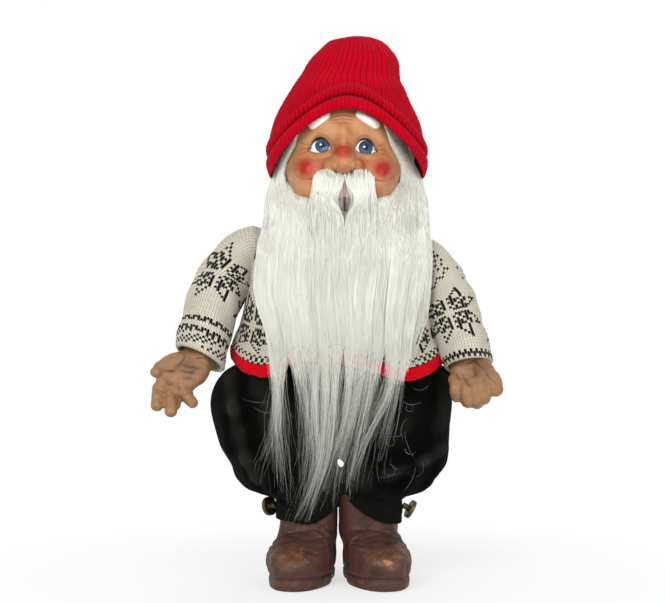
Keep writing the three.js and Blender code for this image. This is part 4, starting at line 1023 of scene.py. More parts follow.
legs = [gridPiece("leg", trousers["columns"], trousers["rows"], legPlace(side)) for side in (-1, 1)]
trouserPiece = growTogether(legs, "knickerbockers", trousers["voxel"])
applyModifier(trouserPiece, "SUBSURF", levels=1, render_levels=1)
trouserFolds(trouserPiece)
finishPiece(trouserPiece, ridgeLitFelt, "body", "black_felt", "trousers", "hip_stuffing")


# Felt bands under the knee; both hang lower on the outer side
cuffs = {
    "columns": 120, "rows": 40, "top": 63.0, "radius": 23.4, "inner": 20.5, "legX": 23.25,
    "slant": {  # place across, height of the lower edge
        "left": [[-24, 44.5], [-2, 43], [8, 45.5], [16, 49], [24, 53.5]],
        "right": [[-24, 59.5], [-16, 58], [-4, 50.5], [11, 43.2], [19, 41.3], [24, 41]]},
}


def cuffPlace(name, side):
    slant = curveThrough(cuffs["slant"][name])

    def place(u, v):
        angle, section = fullTurn(u), fullTurn(v)
        c = np.cos(section)
        radius = mix(cuffs["inner"], cuffs["radius"], boxed(c, 0.5))
        bottom = slant(24 * np.cos(angle))[0]
        z = mix(bottom, cuffs["top"], boxed(np.sin(section), 0.35))
        points = np.column_stack([side * cuffs["legX"] + radius * np.cos(angle), radius * np.sin(angle), z])
        lift = (0.5 * ripple(points, 16, 61 + side) + 0.25 * ripple(points, 5, 63)) * (c > 0)
        points[:, 2] += 0.9 * ripple(points, 30, 66 + side) * fall(z, bottom, bottom + 8)
        return points + radial(angle) * np.maximum(lift, -0.3)[:, None], {}
    return place


for name, side in sideOf.items():
    piece = gridPiece("kneeBand_" + name, cuffs["columns"], cuffs["rows"], cuffPlace(name, side))
    finishPiece(piece, blackFelt, "body", "black_felt", "cuff_" + name)


# Shank buttons, turned from a disc: a rim, a dished face and a domed middle
buttons = {
    "sides": 48, "radius": 7.0, "thickness": 3.0, "shankRadius": 2.2, "shankLength": 5.0, "seatHeight": 54.0,
    "droop": {"left": 12.0, "right": 30.0}, "swing": {"left": 38.0, "right": 8.0}, "cuffRadius": 22.4,
    "face": [(0.9, -0.9), (0.5, 0.0), (1.5, 0.35), (0.5, -0.5), (0.5, 0.6), (1.4, 0.5)],  # inset, rise
    "rim": 0.8, "fillet": 0.4,
}


def insetFaces(piece, upward, steps):  # the faces that look up or down, set in and moved step by step
    bpy.ops.mesh.select_all(action="DESELECT")
    bpy.ops.object.mode_set(mode="OBJECT")
    for face in piece.data.polygons:
        face.select = upward * face.normal.z > 0.9
    bpy.ops.object.mode_set(mode="EDIT")
    for inset, rise in steps:
        bpy.ops.mesh.inset(thickness=inset)
        bpy.ops.transform.translate(value=(0, 0, rise))


def buttonPiece(name):
    b, side = buttons, sideOf[name]
    deselect()
    bpy.ops.mesh.primitive_cylinder_add(vertices=b["sides"], radius=b["radius"], depth=b["thickness"],
                                        location=(0, 0, b["shankLength"] + b["thickness"] / 2))
    piece = bpy.context.object
    piece.name = piece.data.name = "button_" + name + "_brass"
    bpy.ops.object.transform_apply(location=True, rotation=True, scale=True)
    bpy.ops.object.mode_set(mode="EDIT")
    bpy.ops.mesh.select_mode(type="FACE")
    insetFaces(piece, 1, b["face"])
    toShank = b["radius"] - b["rim"] - b["shankRadius"] - b["fillet"]
    insetFaces(piece, -1, [(b["rim"], 0.5), (toShank, 0), (b["fillet"], -0.6)])
    bpy.ops.mesh.extrude_region_move(TRANSFORM_OT_translate={"value": (0, 0, -b["shankLength"] - 0.1)})
    bpy.ops.object.mode_set(mode="OBJECT")
    applyModifier(piece, "BEVEL", width=0.22, segments=2, limit_method="ANGLE", angle_limit=0.5)
    x, y, z = pointsOf(piece).T
    z = np.maximum(z, 0.05)
    tilt = math.radians(90 + b["droop"][name]) * side
    dip = b["shankRadius"] * math.sin(math.radians(b["droop"][name]))
    seat = np.array([side * (cuffs["legX"] + b["cuffRadius"] + 0.4 + dip), 0, b["seatHeight"]])
    turned = np.column_stack([x * math.cos(tilt) + z * math.sin(tilt), y,
                              -x * math.sin(tilt) + z * math.cos(tilt)])
    turned = spun(turned, math.radians(b["swing"][name]) * side)  # the loose shank lets the face turn back
    setPoints(piece, toFrame(turned + seat))
    tidyMesh(piece)
    finishPiece(piece, oldBrass, "body", "brass", "button_" + name)
    activate(piece)
    bpy.ops.object.shade_smooth_by_angle(angle=math.radians(40))


for name in sideOf:
    buttonPiece(name)


# Boots: a moulded sole and welt, a round toe, a tongue, quarters and creases
boots = {
    "columns": 220, "rows": 170, "legX": 23.25, "toeOut": 12.0, "half": 24.8, "toe": 60.0, "heel": 27.0,
    "sole": 7.2, "height": 66.0, "upper": 57.5, "shaft": 20.0, "waist": 0.82,
    # dark is painted shade for the grooves and the bottom of the sole; rub and pale are worn paint
    "brown": tone(82, 51, 41), "dark": tone(44, 29, 24), "rub": tone(132, 88, 54), "pale": tone(178, 126, 86),
    "creases": [(31, 0.9), (34.5, 1.0), (38, 0.8), (27.5, 0.5)],  # over the instep: height, depth
    "quarter": ((34, 10), (20, 37)),  # raised edge from the welt to the ankle, forward and up
    "inner": {-1: 2.2, 1: 3.5},  # how much fuller the ankle is on its inner side
    "seams": {-1: ((10, 43), (21, 31)), 1: ((1.5, 47), (18.5, 30))},  # edge of the quarter, inward and up
    "laces": {-1: (((9, 38), (14, 42)), ((10, 43), (14, 37.5))),
              1: (((6, 47), (11, 50.5)), ((7, 51), (11, 46)))},
    "seeds": {-1: 71, 1: 81},
}


def bootPlace(side):
    half, toe, heel, sole, shaft = (boots[k] for k in ("half", "toe", "heel", "sole", "shaft"))
    seed, height = boots["seeds"][side], boots["height"]

    def up(share):
        return sole + share * boots["upper"]

    shape = curveThrough([  # height, half width, reach to the toe and to the heel
        [0, half - 2.6, toe - 3, heel - 2], [1.2, half - 1.5, toe - 0.9, heel - 0.8],
        [sole - 1.6, half - 1.0, toe - 0.2, heel - 0.2], [sole - 0.4, half - 1.1, toe - 0.5, heel - 0.5],
        [up(0.025), half - 1.7, toe - 1.6, heel - 1.4], [up(0.05), half - 0.7, toe - 0.9, heel - 1.2],
        [up(0.14), half, toe - 0.2, heel - 1.2], [up(0.26), half - 0.6, mix(toe, shaft, 0.08), heel - 2.6],
        [up(0.36), half - 2.2, mix(toe, shaft, 0.34), heel - 4.2],
        [up(0.45), mix(half, shaft, 0.72), mix(toe, shaft, 0.72), shaft + 2],
        [up(0.52), mix(half, shaft, 0.9), mix(toe, shaft, 0.93), shaft + 1],
        [up(0.58), shaft, shaft, shaft], [height, shaft, shaft, shaft]])

    def bootPaintAt(points, climb, y, lift, seam):
        def bumps(wave, nth):
            return ripple(points, wave, seed + nth)

        away = np.hypot((points[:, 0] + 2 * side) / 15, (climb - 23) / 7.5)
        worn = fall(away, 0.4, 1.2) * ease(-y, 30, 44)
        patches = ease(bumps(9, 3) + 0.5 * bumps(4, 4), -0.1, 0.9)
        chips = ease(bumps(5, 6) + bumps(2.6, 7), 1.25, 1.7)
        layers = [("rub", 0.5 * worn * patches + 0.25 * worn), ("pale", 0.5 * chips * (0.15 + 0.85 * worn))]
        if side > 0:  # a bare spot on the toe
            bare = np.hypot((points[:, 0] + 1) / 4.2, (climb - 20.5) / 2.0) + 0.25 * bumps(4, 8)
            layers.append(("pale", fall(bare, 0.7, 1.0) * (y < -35)))
        layers.append(("rub", 0.5 * bell(climb - sole + 1.5, 1.3) * ease(bumps(12, 9), 0.1, 0.9)))
        # painted shade: darker in the groove above the welt, in the creases and along the seam, and along the
        # bottom of the sole
        groove = 0.8 * bell(climb - up(0.025), 0.8) + 0.8 * ease(-lift, 0.3, 1.0) + 0.3 * seam
        groove += 0.6 * fall(climb, 0, 1.5)
        layers.append(("dark", np.clip(0.75 * groove, 0, 0.85)))
        paint = plain(boots["brown"], len(climb))
        for colour, amount in layers:
            paint = mix(paint, boots[colour], amount[:, None])
        return paint

    def place(u, v):
        climb = np.interp(v, [0.06, 0.2, 0.72, 0.94], [0, sole + 1.5, up(0.58), height])
        wide, front, back = shape(climb)
        turn = fullTurn(u) + math.pi / 2
        c, s = np.cos(turn), np.sin(turn)
        leg = ease(climb, up(0.3), up(0.58))
        blunt = mix(0.86, 1, leg)
        y = np.where(s < 0, front, back) * signed(s, blunt)
        narrow = mix(mix(boots["waist"], 1, leg), 1, ease(-y, 0, 0.45 * toe))
        x = wide * narrow * signed(c, blunt)
        points = np.column_stack([x * closed(v), y * closed(v), climb])
        x, inward, ahead = points[:, 0], -side * points[:, 0], y < 0
        lift = 0.5 * ripple(points, 22, seed) * ease(climb, sole, sole + 6)
        for k, (high, deep) in enumerate(boots["creases"]):
            line = high - 0.006 * x ** 2 + 1.2 * np.sin(0.16 * x + 2 * k + seed)
            lift -= deep * bell(climb - line, 1.0) * ease(-y, 12, 22)
        away, _ = nearSegment(-y, climb, *boots["quarter"])
        lift += 0.7 * fall(away, 0.6, 1.6) * (np.abs(x) > 3) * ease(climb, sole + 4, sole + 8)
        lift += boots["inner"][side] * ease(inward, 8, 19) * ease(climb, 22, 32)
        away, _ = nearSegment(inward, climb, *boots["seams"][side])
        seam = ahead * bell(away - 1.1, 0.6)
        lift += ahead * (0.4 * fall(away, 0.3, 1.3)) - 0.25 * seam
        for lace in boots["laces"][side]:
            away, _ = nearSegment(inward, climb, *lace)
            lift += ahead * 0.6 * fall(away, 0.4, 1.1)
        lift *= closed(v)
        points = points + np.column_stack([c, s, np.full_like(c, 0.4)]) * lift[:, None]
        paint = bootPaintAt(points, climb, y, lift, seam)
        standing = spun(points, math.radians(boots["toeOut"]) * side)
        return standing + np.array([side * boots["legX"], 0, 0]), {"paint": paint}
    return place


for name, side in sideOf.items():
    piece = gridPiece("castBoot_" + name, boots["columns"], boots["rows"], bootPlace(side))
    finishPiece(piece, bootPaint, "body", "boot_casting", "boot_" + name)


# Hands: limbs grown together into one casting, then creased; rows are toward the thumb, forward, down, radius
hands = {
    "columns": 20, "rows": 40, "voxel": 0.95, "skin": tone(148, 109, 73), "shade": tone(64, 40, 24),
    "lower": {"left": 0.0, "right": 4.2}, "aside": {"left": 0.0, "right": -4.0},
    "lean": {"left": 0.0, "right": -3.0}, "narrow": {"left": 1.0, "right": 0.88},
    "jointLines": {"left": 0.25, "right": 0.12},
    "wrist": [[(0, 0, -12, 9.4), (0, 0, -4, 9.6), (0, 0, 4, 10.2)]],
    "left": [
        [(8, 1, 3, 6.6), (18.5, 4, 10.7, 6), (24.4, 7, 18, 5.2), (26.6, 9, 22.8, 4.3)],
        [(15, 1, 18, 5.2), (20.6, 4, 27, 5), (21, 6.5, 37, 4.8), (18.6, 10, 46.6, 4.4)],
        [(8.5, 1, 20, 5.2), (11.8, 4, 30, 5), (11.0, 7, 39, 4.8), (7.6, 11, 48.6, 4.3)],
        [(6, -1, 20, 5), (8.5, -1.5, 29, 4.6), (8.5, 0, 36, 4.2), (7, 3, 41, 3.8)],
        [(3, 1, 20, 5.2), (3.5, 2, 28, 4.9), (0.4, 4, 33.3, 4.6), (-4.6, 7, 37.2, 4.0)],
        [(-3, 0, -8, 8), (-2.2, 0, 4, 7.6), (-0.6, 1, 14.5, 7.4), (3, 1.5, 23, 5.6)],
        [(1, 0, -8, 8), (2, 0, 5, 8.4), (4, 1, 15, 7.8), (7, 1.5, 24, 6)],
        [(4, 0, -8, 7.6), (6, 0, 5, 8), (9.5, 1, 15, 7.6), (12, 1.5, 24, 6)],
        [(6, 0, -4, 7), (9, 0, 6, 7.4), (14, 1, 15, 7), (16.5, 1.5, 24, 5.6)],
        [(7, 3, 4, 6), (14, 5, 10, 6.4), (18, 5, 16.5, 5)]],
    "right": [
        [(5.5, 3, 1, 7.6), (11, 7, 11, 7.4), (14.5, 11, 20, 6.8), (15.5, 13, 27.5, 5.8)],
        [(5.5, 1, 18, 5), (6, 5, 28, 4.9), (5, 12, 31, 4.7), (4, 15.5, 25, 4.4), (4, 12, 18, 4.2)],
        [(-0.5, 1, 19, 5), (-0.8, 5, 30, 5), (-1.2, 12.5, 33, 4.7), (-1.5, 16, 26, 4.4), (-1.5, 12, 18, 4.2)],
        [(-6.5, 1, 18, 5), (-7.5, 5, 28, 4.8), (-8, 12, 30.5, 4.6), (-8, 15, 24, 4.3), (-8, 11, 17, 4)],
        [(-12, 1, 14, 4.6), (-15, 4, 22, 4.3), (-16, 9.5, 24, 4.1), (-15.5, 12.5, 18, 4.0),
         (-15, 9, 12, 3.8)],
        [(-6, 0, -8, 8), (-6.5, 0, 4, 8.2), (-9, 1, 11, 7), (-11, 1.5, 15, 5.4)],
        [(-2, 0, -8, 8), (-2.5, 0, 5, 8.6), (-5, 1, 13, 7.6), (-6.5, 1.5, 18, 6)],
        [(3, 0, -8, 8), (2.5, 0, 5, 8.8), (0, 1, 13, 7.8), (-0.5, 1.5, 19, 6)],
        [(6, 0, -8, 8), (6.5, 0, 5, 8.4), (6, 1, 13, 7.6), (5.5, 1.5, 18, 5.8)]],
    "creases": {  # lines over the palm, toward the thumb and down
        "left": [((-5, 11), (12, 13)), ((-3, 15), (13, 18)), ((9, 3), (13, 17)), ((-6, 3), (5, 6)),
                 ((-1, 20), (9, 22)), ((12, 18), (22, 21))],
        "right": [((-9, 8), (3, 6)), ((0, 5), (4, 16)), ((4, 16), (8.5, 31)), ((-8, 0), (8, 1)),
                  ((-11, 12), (-9, 30))]},
}


def rowUnit(vectors):  # each row at length one
    return vectors / np.linalg.norm(vectors, axis=1, keepdims=True)


def limb(points, radii):  # a round limb along a curve, with a ball at each end
    path = curveThrough(np.column_stack([np.linspace(0, 1, len(points)), points, radii]))
    end = 0.12  # share of the rows in each ball

    def place(u, v):
        t = unit((v - end) / 0.76)
        x, y, z, r = path(t)
        after, before = (np.column_stack(path(unit(t + step))[:3]) for step in (0.01, -0.01))
        ahead = rowUnit(after - before)
        pick = np.where(np.abs(ahead[:, :1]) < 0.8, [[1.0, 0, 0]], [[0, 1.0, 0]])
        across = rowUnit(pick - ahead * np.sum(pick * ahead, axis=1, keepdims=True))
        over = np.cross(ahead, across)
        cap = np.where(v < end, v / end - 1, np.where(v > 0.88, (v - 0.88) / end, 0))
        angle = fullTurn(u)
        ring = np.cos(angle)[:, None] * across + np.sin(angle)[:, None] * over
        size = r * np.sqrt(unit(1 - cap ** 2))
        return np.column_stack([x, y, z]) + ring * size[:, None] + ahead * (cap * r)[:, None], {}
    return place


def handPiece(name):
    h, side, arm = hands, sideOf[name], armFrames[name]
    toHand = np.array([side, -1.0, -1.0])
    chains = [np.array(chain, float) for chain in h[name] + h["wrist"]]
    lean = math.radians(h["lean"][name])
    for chain in chains:
        free = ease(chain[:, 2], -4, 8)
        chain[:, 0] *= h["narrow"][name]
        chain[:, 0] += free * (h["aside"][name] + math.sin(lean) * chain[:, 2])
        chain[:, 2] += free * h["lower"][name]
    parts = [gridPiece("limb", h["columns"], h["rows"], limb(chain[:, :3] * toHand, chain[:, 3]))
             for chain in chains]
    piece = growTogether(parts, "castHand_" + name, h["voxel"])
    local, normals = inFigure(piece), normalsOf(piece)
    toThumb, down = side * local[:, 0], -local[:, 2]
    lift = 0.3 * ripple(local, 9, 91)
    dark = 0.22 * ease(-ripple(local, 8, 93), 0.3, 1.6)
    palm = ease(-normals[:, 1], 0.1, 0.6)
    # painted shade in the hollow of the palm
    dark += 0.45 * palm * bell(toThumb - 5, 9, down - 13, 7)
    for start, end in h["creases"][name]:
        away, t = nearSegment(toThumb - 0.6 * np.sin(0.5 * down), down, start, end)
        line = bell(away, 0.7) * palm * np.sin(math.pi * np.clip(t, 0.06, 0.94))
        lift -= 0.7 * line
        # painted shade along each palm crease
        dark += 0.6 * line
    for chain in chains[1:5]:
        for k in (1, 2):
            joint, along = chain[k, :3] * toHand, (chain[k + 1, :3] - chain[k - 1, :3]) * toHand
            off = local - joint
            near = np.linalg.norm(off, axis=1) < chain[k, 3] + 1.2
            crease = h["jointLines"][name] * bell(off @ along / np.linalg.norm(along), 0.6) * near
            lift -= crease
            # painted shade at the finger joint creases
            dark += crease
    local = local + normals * lift[:, None]
    straight = np.array([0.0, 0.0, -1.0])  # the hand is turned to go on from the forearm
    angle = math.acos(np.clip(straight @ arm["down"], -1, 1))
    turned = turnAbout(local, np.cross(straight, arm["down"]), angle)
    setPoints(piece, toFrame(turned + arm["wrist"]))
    addLayer(piece, "paint", mix(h["skin"], h["shade"], unit(dark)[:, None]))
    applyModifier(piece, "SUBSURF", levels=1, render_levels=1)
    finishPiece(piece, handPaint, "hand_" + name, "skin_casting", "hand_" + name)


for name in sideOf:
    handPiece(name)


# Beard, moustache and hair: fine flat tapering strands over a soft white backing
fur = {
    "thickness": 8.0, "flatness": 0.4, "radius": 0.36, "white": tone(229, 230, 223), "chestLine": 174.0,
    "spread": 1.35, "forward": np.array([0.05, 1.0, 0.1]),
    "outline": [  # height, middle, half width
        [50, -16, 16], [76, -12, 34], [100, -9, 40], [126, -5, 43], [156, -1, 47], [171, 1.3, 50.3],
        [193, -0.3, 55], [204, -0.9, 58.6], [216, -0.7, 61], [230, 1, 61.5], [247, 1.8, 60.6],
        [261, 3.5, 58.5], [280, 4, 57], [299, 4, 55], [325, 5, 50]],
    "jaw": [[0, 268], [0.3, 272.5], [0.59, 279.6], [0.78, 281.8], [0.93, 286], [1, 291.5]],
    "jawMiddle": 3, "jawHalf": 42.3,
}
beardOutline = curveThrough(fur["outline"])
facePoints = inFigure(headPiece)
facing = (normalsOf(headPiece)[:, 1] < -0.04) & (np.hypot(facePoints[:, 0] - 1, facePoints[:, 1]) > 26)
facePoints = facePoints[facing & (facePoints[:, 1] < 12)]
faceX, faceZ = frontView(facePoints)


def onFace(x, z):  # the point of the face seen at a place from the front
    found, batch = [], 200
    for start in range(0, len(x), batch):
        here = slice(start, start + batch)
        away = (faceX[None] - x[here, None]) ** 2 + (faceZ[None] - z[here, None]) ** 2
        found.append(facePoints[np.argmin(away, axis=1)])
    return np.concatenate(found)


def bodyFront(x, z):  # how far forward the body reaches
    half = torso["hemHalf"][0]
    drop = hemDrop(np.clip(x, -half, half))[0]
    share = unit((z - torso["hem"] + drop) / (torso["top"] - torso["hem"] + drop))
    wide, deep = torsoSize(share)
    chest = (deep + 2.5) * np.sqrt(np.maximum(0.06, 1 - (x / (wide + 8)) ** 2))
    skull = 45 * np.sqrt(np.maximum(0.04, 1 - (x / 52) ** 2))
    below = mix(62.1, chest, ease(z, 153, 178))
    return mix(np.maximum(below, chest), skull, ease(z, 235, 275))


def beardX(across, z):
    middle, half = beardOutline(z)
    return middle + half * np.sin(fur["spread"] * across) / math.sin(fur["spread"])


def frontOf(x, z, depth):
    middle = beardOutline(z)[0]
    thin = mix(0.4, 1, ease(290 - z, 0, 30)) * (1 - 0.45 * ease(fur["chestLine"] - z, 0, 90))
    return -(bodyFront(x - middle * ease(z, 265, 325), z) + 1.6 + depth * fur["thickness"] * thin)


jawAcross = np.linspace(-1, 1, 121)
jawSine = np.sin(math.pi / 2 * jawAcross)
jawPoints = onFace(fur["jawMiddle"] + fur["jawHalf"] * jawSine,
                   np.interp(np.abs(jawSine), *np.array(fur["jaw"]).T))


def jawAt(across):
    return np.stack([np.interp(across, jawAcross, values) for values in jawPoints.T], -1)


def fromJaw(root, x, y, z, depth):  # strands leave the face, swell over the jaw, then lie on the beard
    drop = root[..., 2] - z
    swell = root[..., 1] - (1.5 + 7 * depth) * np.sqrt(unit(drop / 6))
    return np.stack([mix(root[..., 0], x, ease(drop, 0, 32)), mix(swell, y, ease(drop, 0, 23)), z], -1)


def dice(seed, count):  # a seeded source, and even or spread draws from it for each strand
    rng = np.random.default_rng(seed)
    return (rng, lambda low, high: rng.uniform(low, high, (count, 1)),
            lambda spread: rng.normal(0, spread, (count, 1)))


def alongSteps(steps):
    return np.linspace(0, 1, steps)[None]


def grown(paths, rng, radius, thinFrom=0.55, root=0.8, light=1.0):  # strands with their widths and shades
    count, steps = paths.shape[:2]
    s = alongSteps(steps)
    shape = mix(root, 1, ease(s, 0, 0.2)) * (1 - 0.82 * ease(s, thinFrom, 1))
    width = radius * rng.uniform(0.7, 1.15, (count, 1)) * shape
    bright = rng.uniform(0.9, 1.0, count)[:, None]
    warm = rng.uniform(0, 1, count)[:, None] * np.array([[0.0, 0.012, 0.045]])
    return paths, width, light * (fur["white"] * bright - warm * bright)


def strandPiece(name, paths, width, shade, outward):  # each strand is a thin three-sided tube
    count, steps = paths.shape[:2]
    along = np.gradient(paths, axis=1)
    along /= np.linalg.norm(along, axis=2, keepdims=True) + 1e-9
    across = np.cross(along, np.broadcast_to(outward, paths.shape))
    across /= np.linalg.norm(across, axis=2, keepdims=True) + 1e-9
    over = np.cross(across, along) * fur["flatness"]
    corners = np.arange(3) * 2 * math.pi / 3
    rings = paths[:, :, None] + width[:, :, None, None] * (
        np.cos(corners)[:, None] * across[:, :, None] + np.sin(corners)[:, None] * over[:, :, None])
    base = np.arange(count * steps).reshape(count, steps) * 3
    low, high = base[:, :-1], base[:, 1:]
    quads = np.concatenate([np.stack([low + i, high + i, high + j, low + j], -1).reshape(-1, 4)
                            for i, j in ((0, 1), (1, 2), (2, 0))])
    first, last = base[:, 0], base[:, -1]
    ends = np.concatenate([np.stack([first, first + 1, first + 2], -1),
                           np.stack([last, last + 2, last + 1], -1)])
    mesh = bpy.data.meshes.new(name)
    points = toFrame(rings.reshape(-1, 3))
    mesh.vertices.add(len(points))
    mesh.vertices.foreach_set("co", points.astype(np.float32).ravel())
    order = np.concatenate([quads.ravel(), ends.ravel()]).astype(np.int32)
    mesh.loops.add(len(order))
    mesh.loops.foreach_set("vertex_index", order)
    mesh.polygons.add(len(quads) + len(ends))
    starts = np.concatenate([np.arange(len(quads)) * 4, len(quads) * 4 + np.arange(len(ends)) * 3])
    mesh.polygons.foreach_set("loop_start", starts.astype(np.int32))
    mesh.update(calc_edges=True)
    piece = addObject(name, mesh)
    addLayer(piece, "paint", np.repeat(shade, steps * 3, axis=0))
    return piece


def softNeck(piece):
    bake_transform(piece)


def furPiece(name, strands, outward, *nodes):
    piece = strandPiece(name, *strands, outward)
    finishPiece(piece, furFibre, None, "white_fur", *nodes)
    activate(piece)
    bpy.ops.object.shade_flat()
    return piece


def furPaint(light, count):
    return {"paint": plain(fur["white"] * light, count)}


# Beard: a cover of strands from the jaw to the chest, and long ones that gather into hanging locks
beard = {
    "cover": {"count": 2300, "steps": 9, "drop": 1.5, "depth": 0.85, "thinFrom": 0.6},
    "tail": {"count": 1500, "steps": 15, "drop": 1.2, "depth": 0.95, "thinFrom": 0.35, "veil": 0.42,
             "veilRadius": 0.06, "lockRadius": 0.078},
    "locks": [  # share of the long strands, then height and place across, from the chest to the tip
        (0.38, [[174, -47.5], [150, -45.5], [126, -43.5], [104, -48], [84, -55]]),
        (0.7, [[174, -44], [150, -43.5], [126, -43], [100, -43.5], [74, -42.5]]),
        (0.42, [[174, -39.5], [150, -41], [126, -42.5], [96, -39.5], [70, -36.5]]),
        (0.4, [[174, -32.5], [150, -28.5], [134, -25.5], [116, -23], [95, -21.9], [72, -23]]),
        (0.3, [[174, -25], [150, -22.5], [120, -20.2], [95, -20.5], [70, -26]]),
        (1.6, [[174, -16.5], [127, -16.5], [108, -15.5], [95, -15], [70, -21], [53, -29]]),
        (1.7, [[174, -9.5], [127, -10.5], [108, -11], [90, -13], [68, -18], [55, -24]]),
        (1.6, [[174, -1.5], [140, -3.5], [115, -6], [95, -9], [76, -15], [60, -21]]),
        (1.3, [[174, 7], [144, 6.5], [127, 5.5], [109, 1.5], [95, -4], [74, -9]]),
        (1.0, [[174, 17], [144, 13.5], [122, 8.5], [104, 4.5], [86, 1], [66, -1]]),
        (1.0, [[174, 26], [144, 21.5], [122, 15.5], [100, 10.5], [84, 7.5], [70, 4]]),
        (1.2, [[174, 38], [152, 36], [134, 32], [110, 19.9], [95, 13.7], [80, 9]]),
        (0.6, [[174, 44.5], [155, 42], [140, 38], [122, 34.5], [104, 30.5], [94, 28]])],
}


def beardStrands(kind, seed):
    setting, tails, line = beard[kind], kind == "tail", fur["chestLine"]
    count = setting["count"]
    rng, draw, sway = dice(seed, count)
    tables = [np.array(table, float) for _, table in beard["locks"]]
    starts, tipZ = np.array([table[0, 1] for table in tables]), np.array([table[-1, 0] for table in tables])
    if tails:
        shares = np.array([share for share, _ in beard["locks"]])
        middle, half = beardOutline(line)
        lock = rng.choice(len(shares), count, p=shares / shares.sum())
        place = starts[lock][:, None] + sway(2.4)
        veil = draw(0, 1) < setting["veil"]  # fine hairs that stay spread between the locks
        place = np.where(veil, draw(-50, 47), place)
        lock = np.where(veil[:, 0], np.argmin(np.abs(place - starts), axis=1), lock)
        sine = np.clip((place - middle) / half, -0.98, 0.98) * math.sin(fur["spread"])
        across = np.arcsin(sine) / fur["spread"]
    else:
        across = draw(-0.995, 0.995)
        place = beardX(across, line)
        lock = np.argmin(np.abs(place + sway(1.5) - starts), axis=1)
    nth = lock[:, None]
    wisp = rng.integers(0, 4, (count, 1)) - 1.5
    tips = tipZ[nth] + 7 * np.sin(2.3 * wisp + 3.1 * nth)
    if tails:
        end = mix(line, tips, draw(0.25, 1.05))
    else:
        end = np.where(draw(0, 1) < 0.7, draw(168, 238), draw(146, 178))
    root = jawAt(across) + np.stack([draw(-0.5, 0.5), draw(-0.5, 0.5), draw(-1.5, 1.5)], -1)
    z = mix(root[..., 2], end, alongSteps(setting["steps"]) ** setting["drop"])
    lockX = np.empty_like(z)
    for k, table in enumerate(tables):
        rows = table[::-1]
        lockX[lock == k] = curveThrough(rows)(np.clip(z[lock == k], rows[0, 0], rows[-1, 0]))[0]
    progress = np.clip((line - z) / (line - tips), 0, 1.1)
    gathered = ease(progress, 0, 0.55) * ((1 - 0.8 * veil) if tails else 1)
    loose = draw(0, 1) < 0.4
    hung = lockX + (place - starts[nth]) * (1 - gathered)
    hung = hung + (1.7 * wisp + sway(0.9)) * gathered * (1.15 - 0.5 * progress)
    hung = hung + 1.6 * np.sin(1.9 * wisp + 2.7 * nth + 2.5 * progress) * progress ** 2
    if tails:
        hung = hung + veil * sway(4.0) * ease(progress, 0, 0.6)
    hung = hung + loose * (sway(4.5) * progress ** 1.4 + 1.2 * np.sin(z / draw(5, 9)) * progress)
    x = mix(beardX(across, z), hung, ease(line - z, -30, 24))
    x = x + 0.6 * np.sin(z / 17 + nth * 2.1 + draw(-0.4, 0.4)) * ease(root[..., 2] - z, 10, 50)
    depth = setting["depth"] + 0.13 * np.sin(2.4 * nth) * ease(260 - z, 0, 60) + draw(-0.08, 0.08)
    paths = fromJaw(root, x, frontOf(x, z, depth), z, depth)
    paths[..., 1] += 1.6 * np.sin(1.7 * nth + wisp) * ease(progress, 0.2, 1)
    radius = np.where(veil, setting["veilRadius"], setting["lockRadius"]) if tails else fur["radius"]
    return grown(paths, rng, radius, setting["thinFrom"])


def backingPlace(u, v):
    across = (2 * u - 1) * 0.97
    root = jawAt(across)
    z = mix(root[:, 2] - 0.5, 188 + 5 * np.sin(40 * u) + 44 * np.abs(across) ** 4, v)
    x = beardX(across, z)
    return fromJaw(root, x, frontOf(x, z, 0.5), z, 0.5), furPaint(0.95, len(u))


backing = gridPiece("beardBacking", 100, 90, backingPlace)
applyModifier(backing, "SOLIDIFY", thickness=0.0012, offset=0)
finishPiece(backing, furFibre, None, "white_fur", "beard")
softNeck(backing)
for name, kind, seed in (("beardStrands_1", "cover", 101), ("beardStrands_2", "cover", 102),
                         ("beardLocks", "tail", 103)):
    softNeck(furPiece(name, beardStrands(kind, seed), fur["forward"]))


# Moustache: two lobes that part under the nose and hang over the beard, laid out as seen from the front
moustache = {
    "count": 1700, "steps": 13, "seed": 111, "middle": 3.1, "half": 22.6, "flare": 2.0, "top": 300.2,
    "rise": 4.2, "parting": 3.9, "mouthZ": 279.0, "radius": 0.3, "fineShare": 0.07, "fineRadius": 0.11,
}
lipX, lipZ = np.linspace(-32, 38, 36), np.linspace(240, 314, 38)
lipY = onFace(*(side.ravel() for side in np.meshgrid(lipX, lipZ)))[:, 1].reshape(len(lipZ), len(lipX))


def faceY(x, z):
    i = np.clip((x - lipX[0]) / (lipX[1] - lipX[0]), 0, len(lipX) - 1.001)
    j = np.clip((z - lipZ[0]) / (lipZ[1] - lipZ[0]), 0, len(lipZ) - 1.001)
    a, b = i.astype(int), j.astype(int)
    return mix(mix(lipY[b, a], lipY[b, a + 1], i - a), mix(lipY[b + 1, a], lipY[b + 1, a + 1], i - a), j - b)


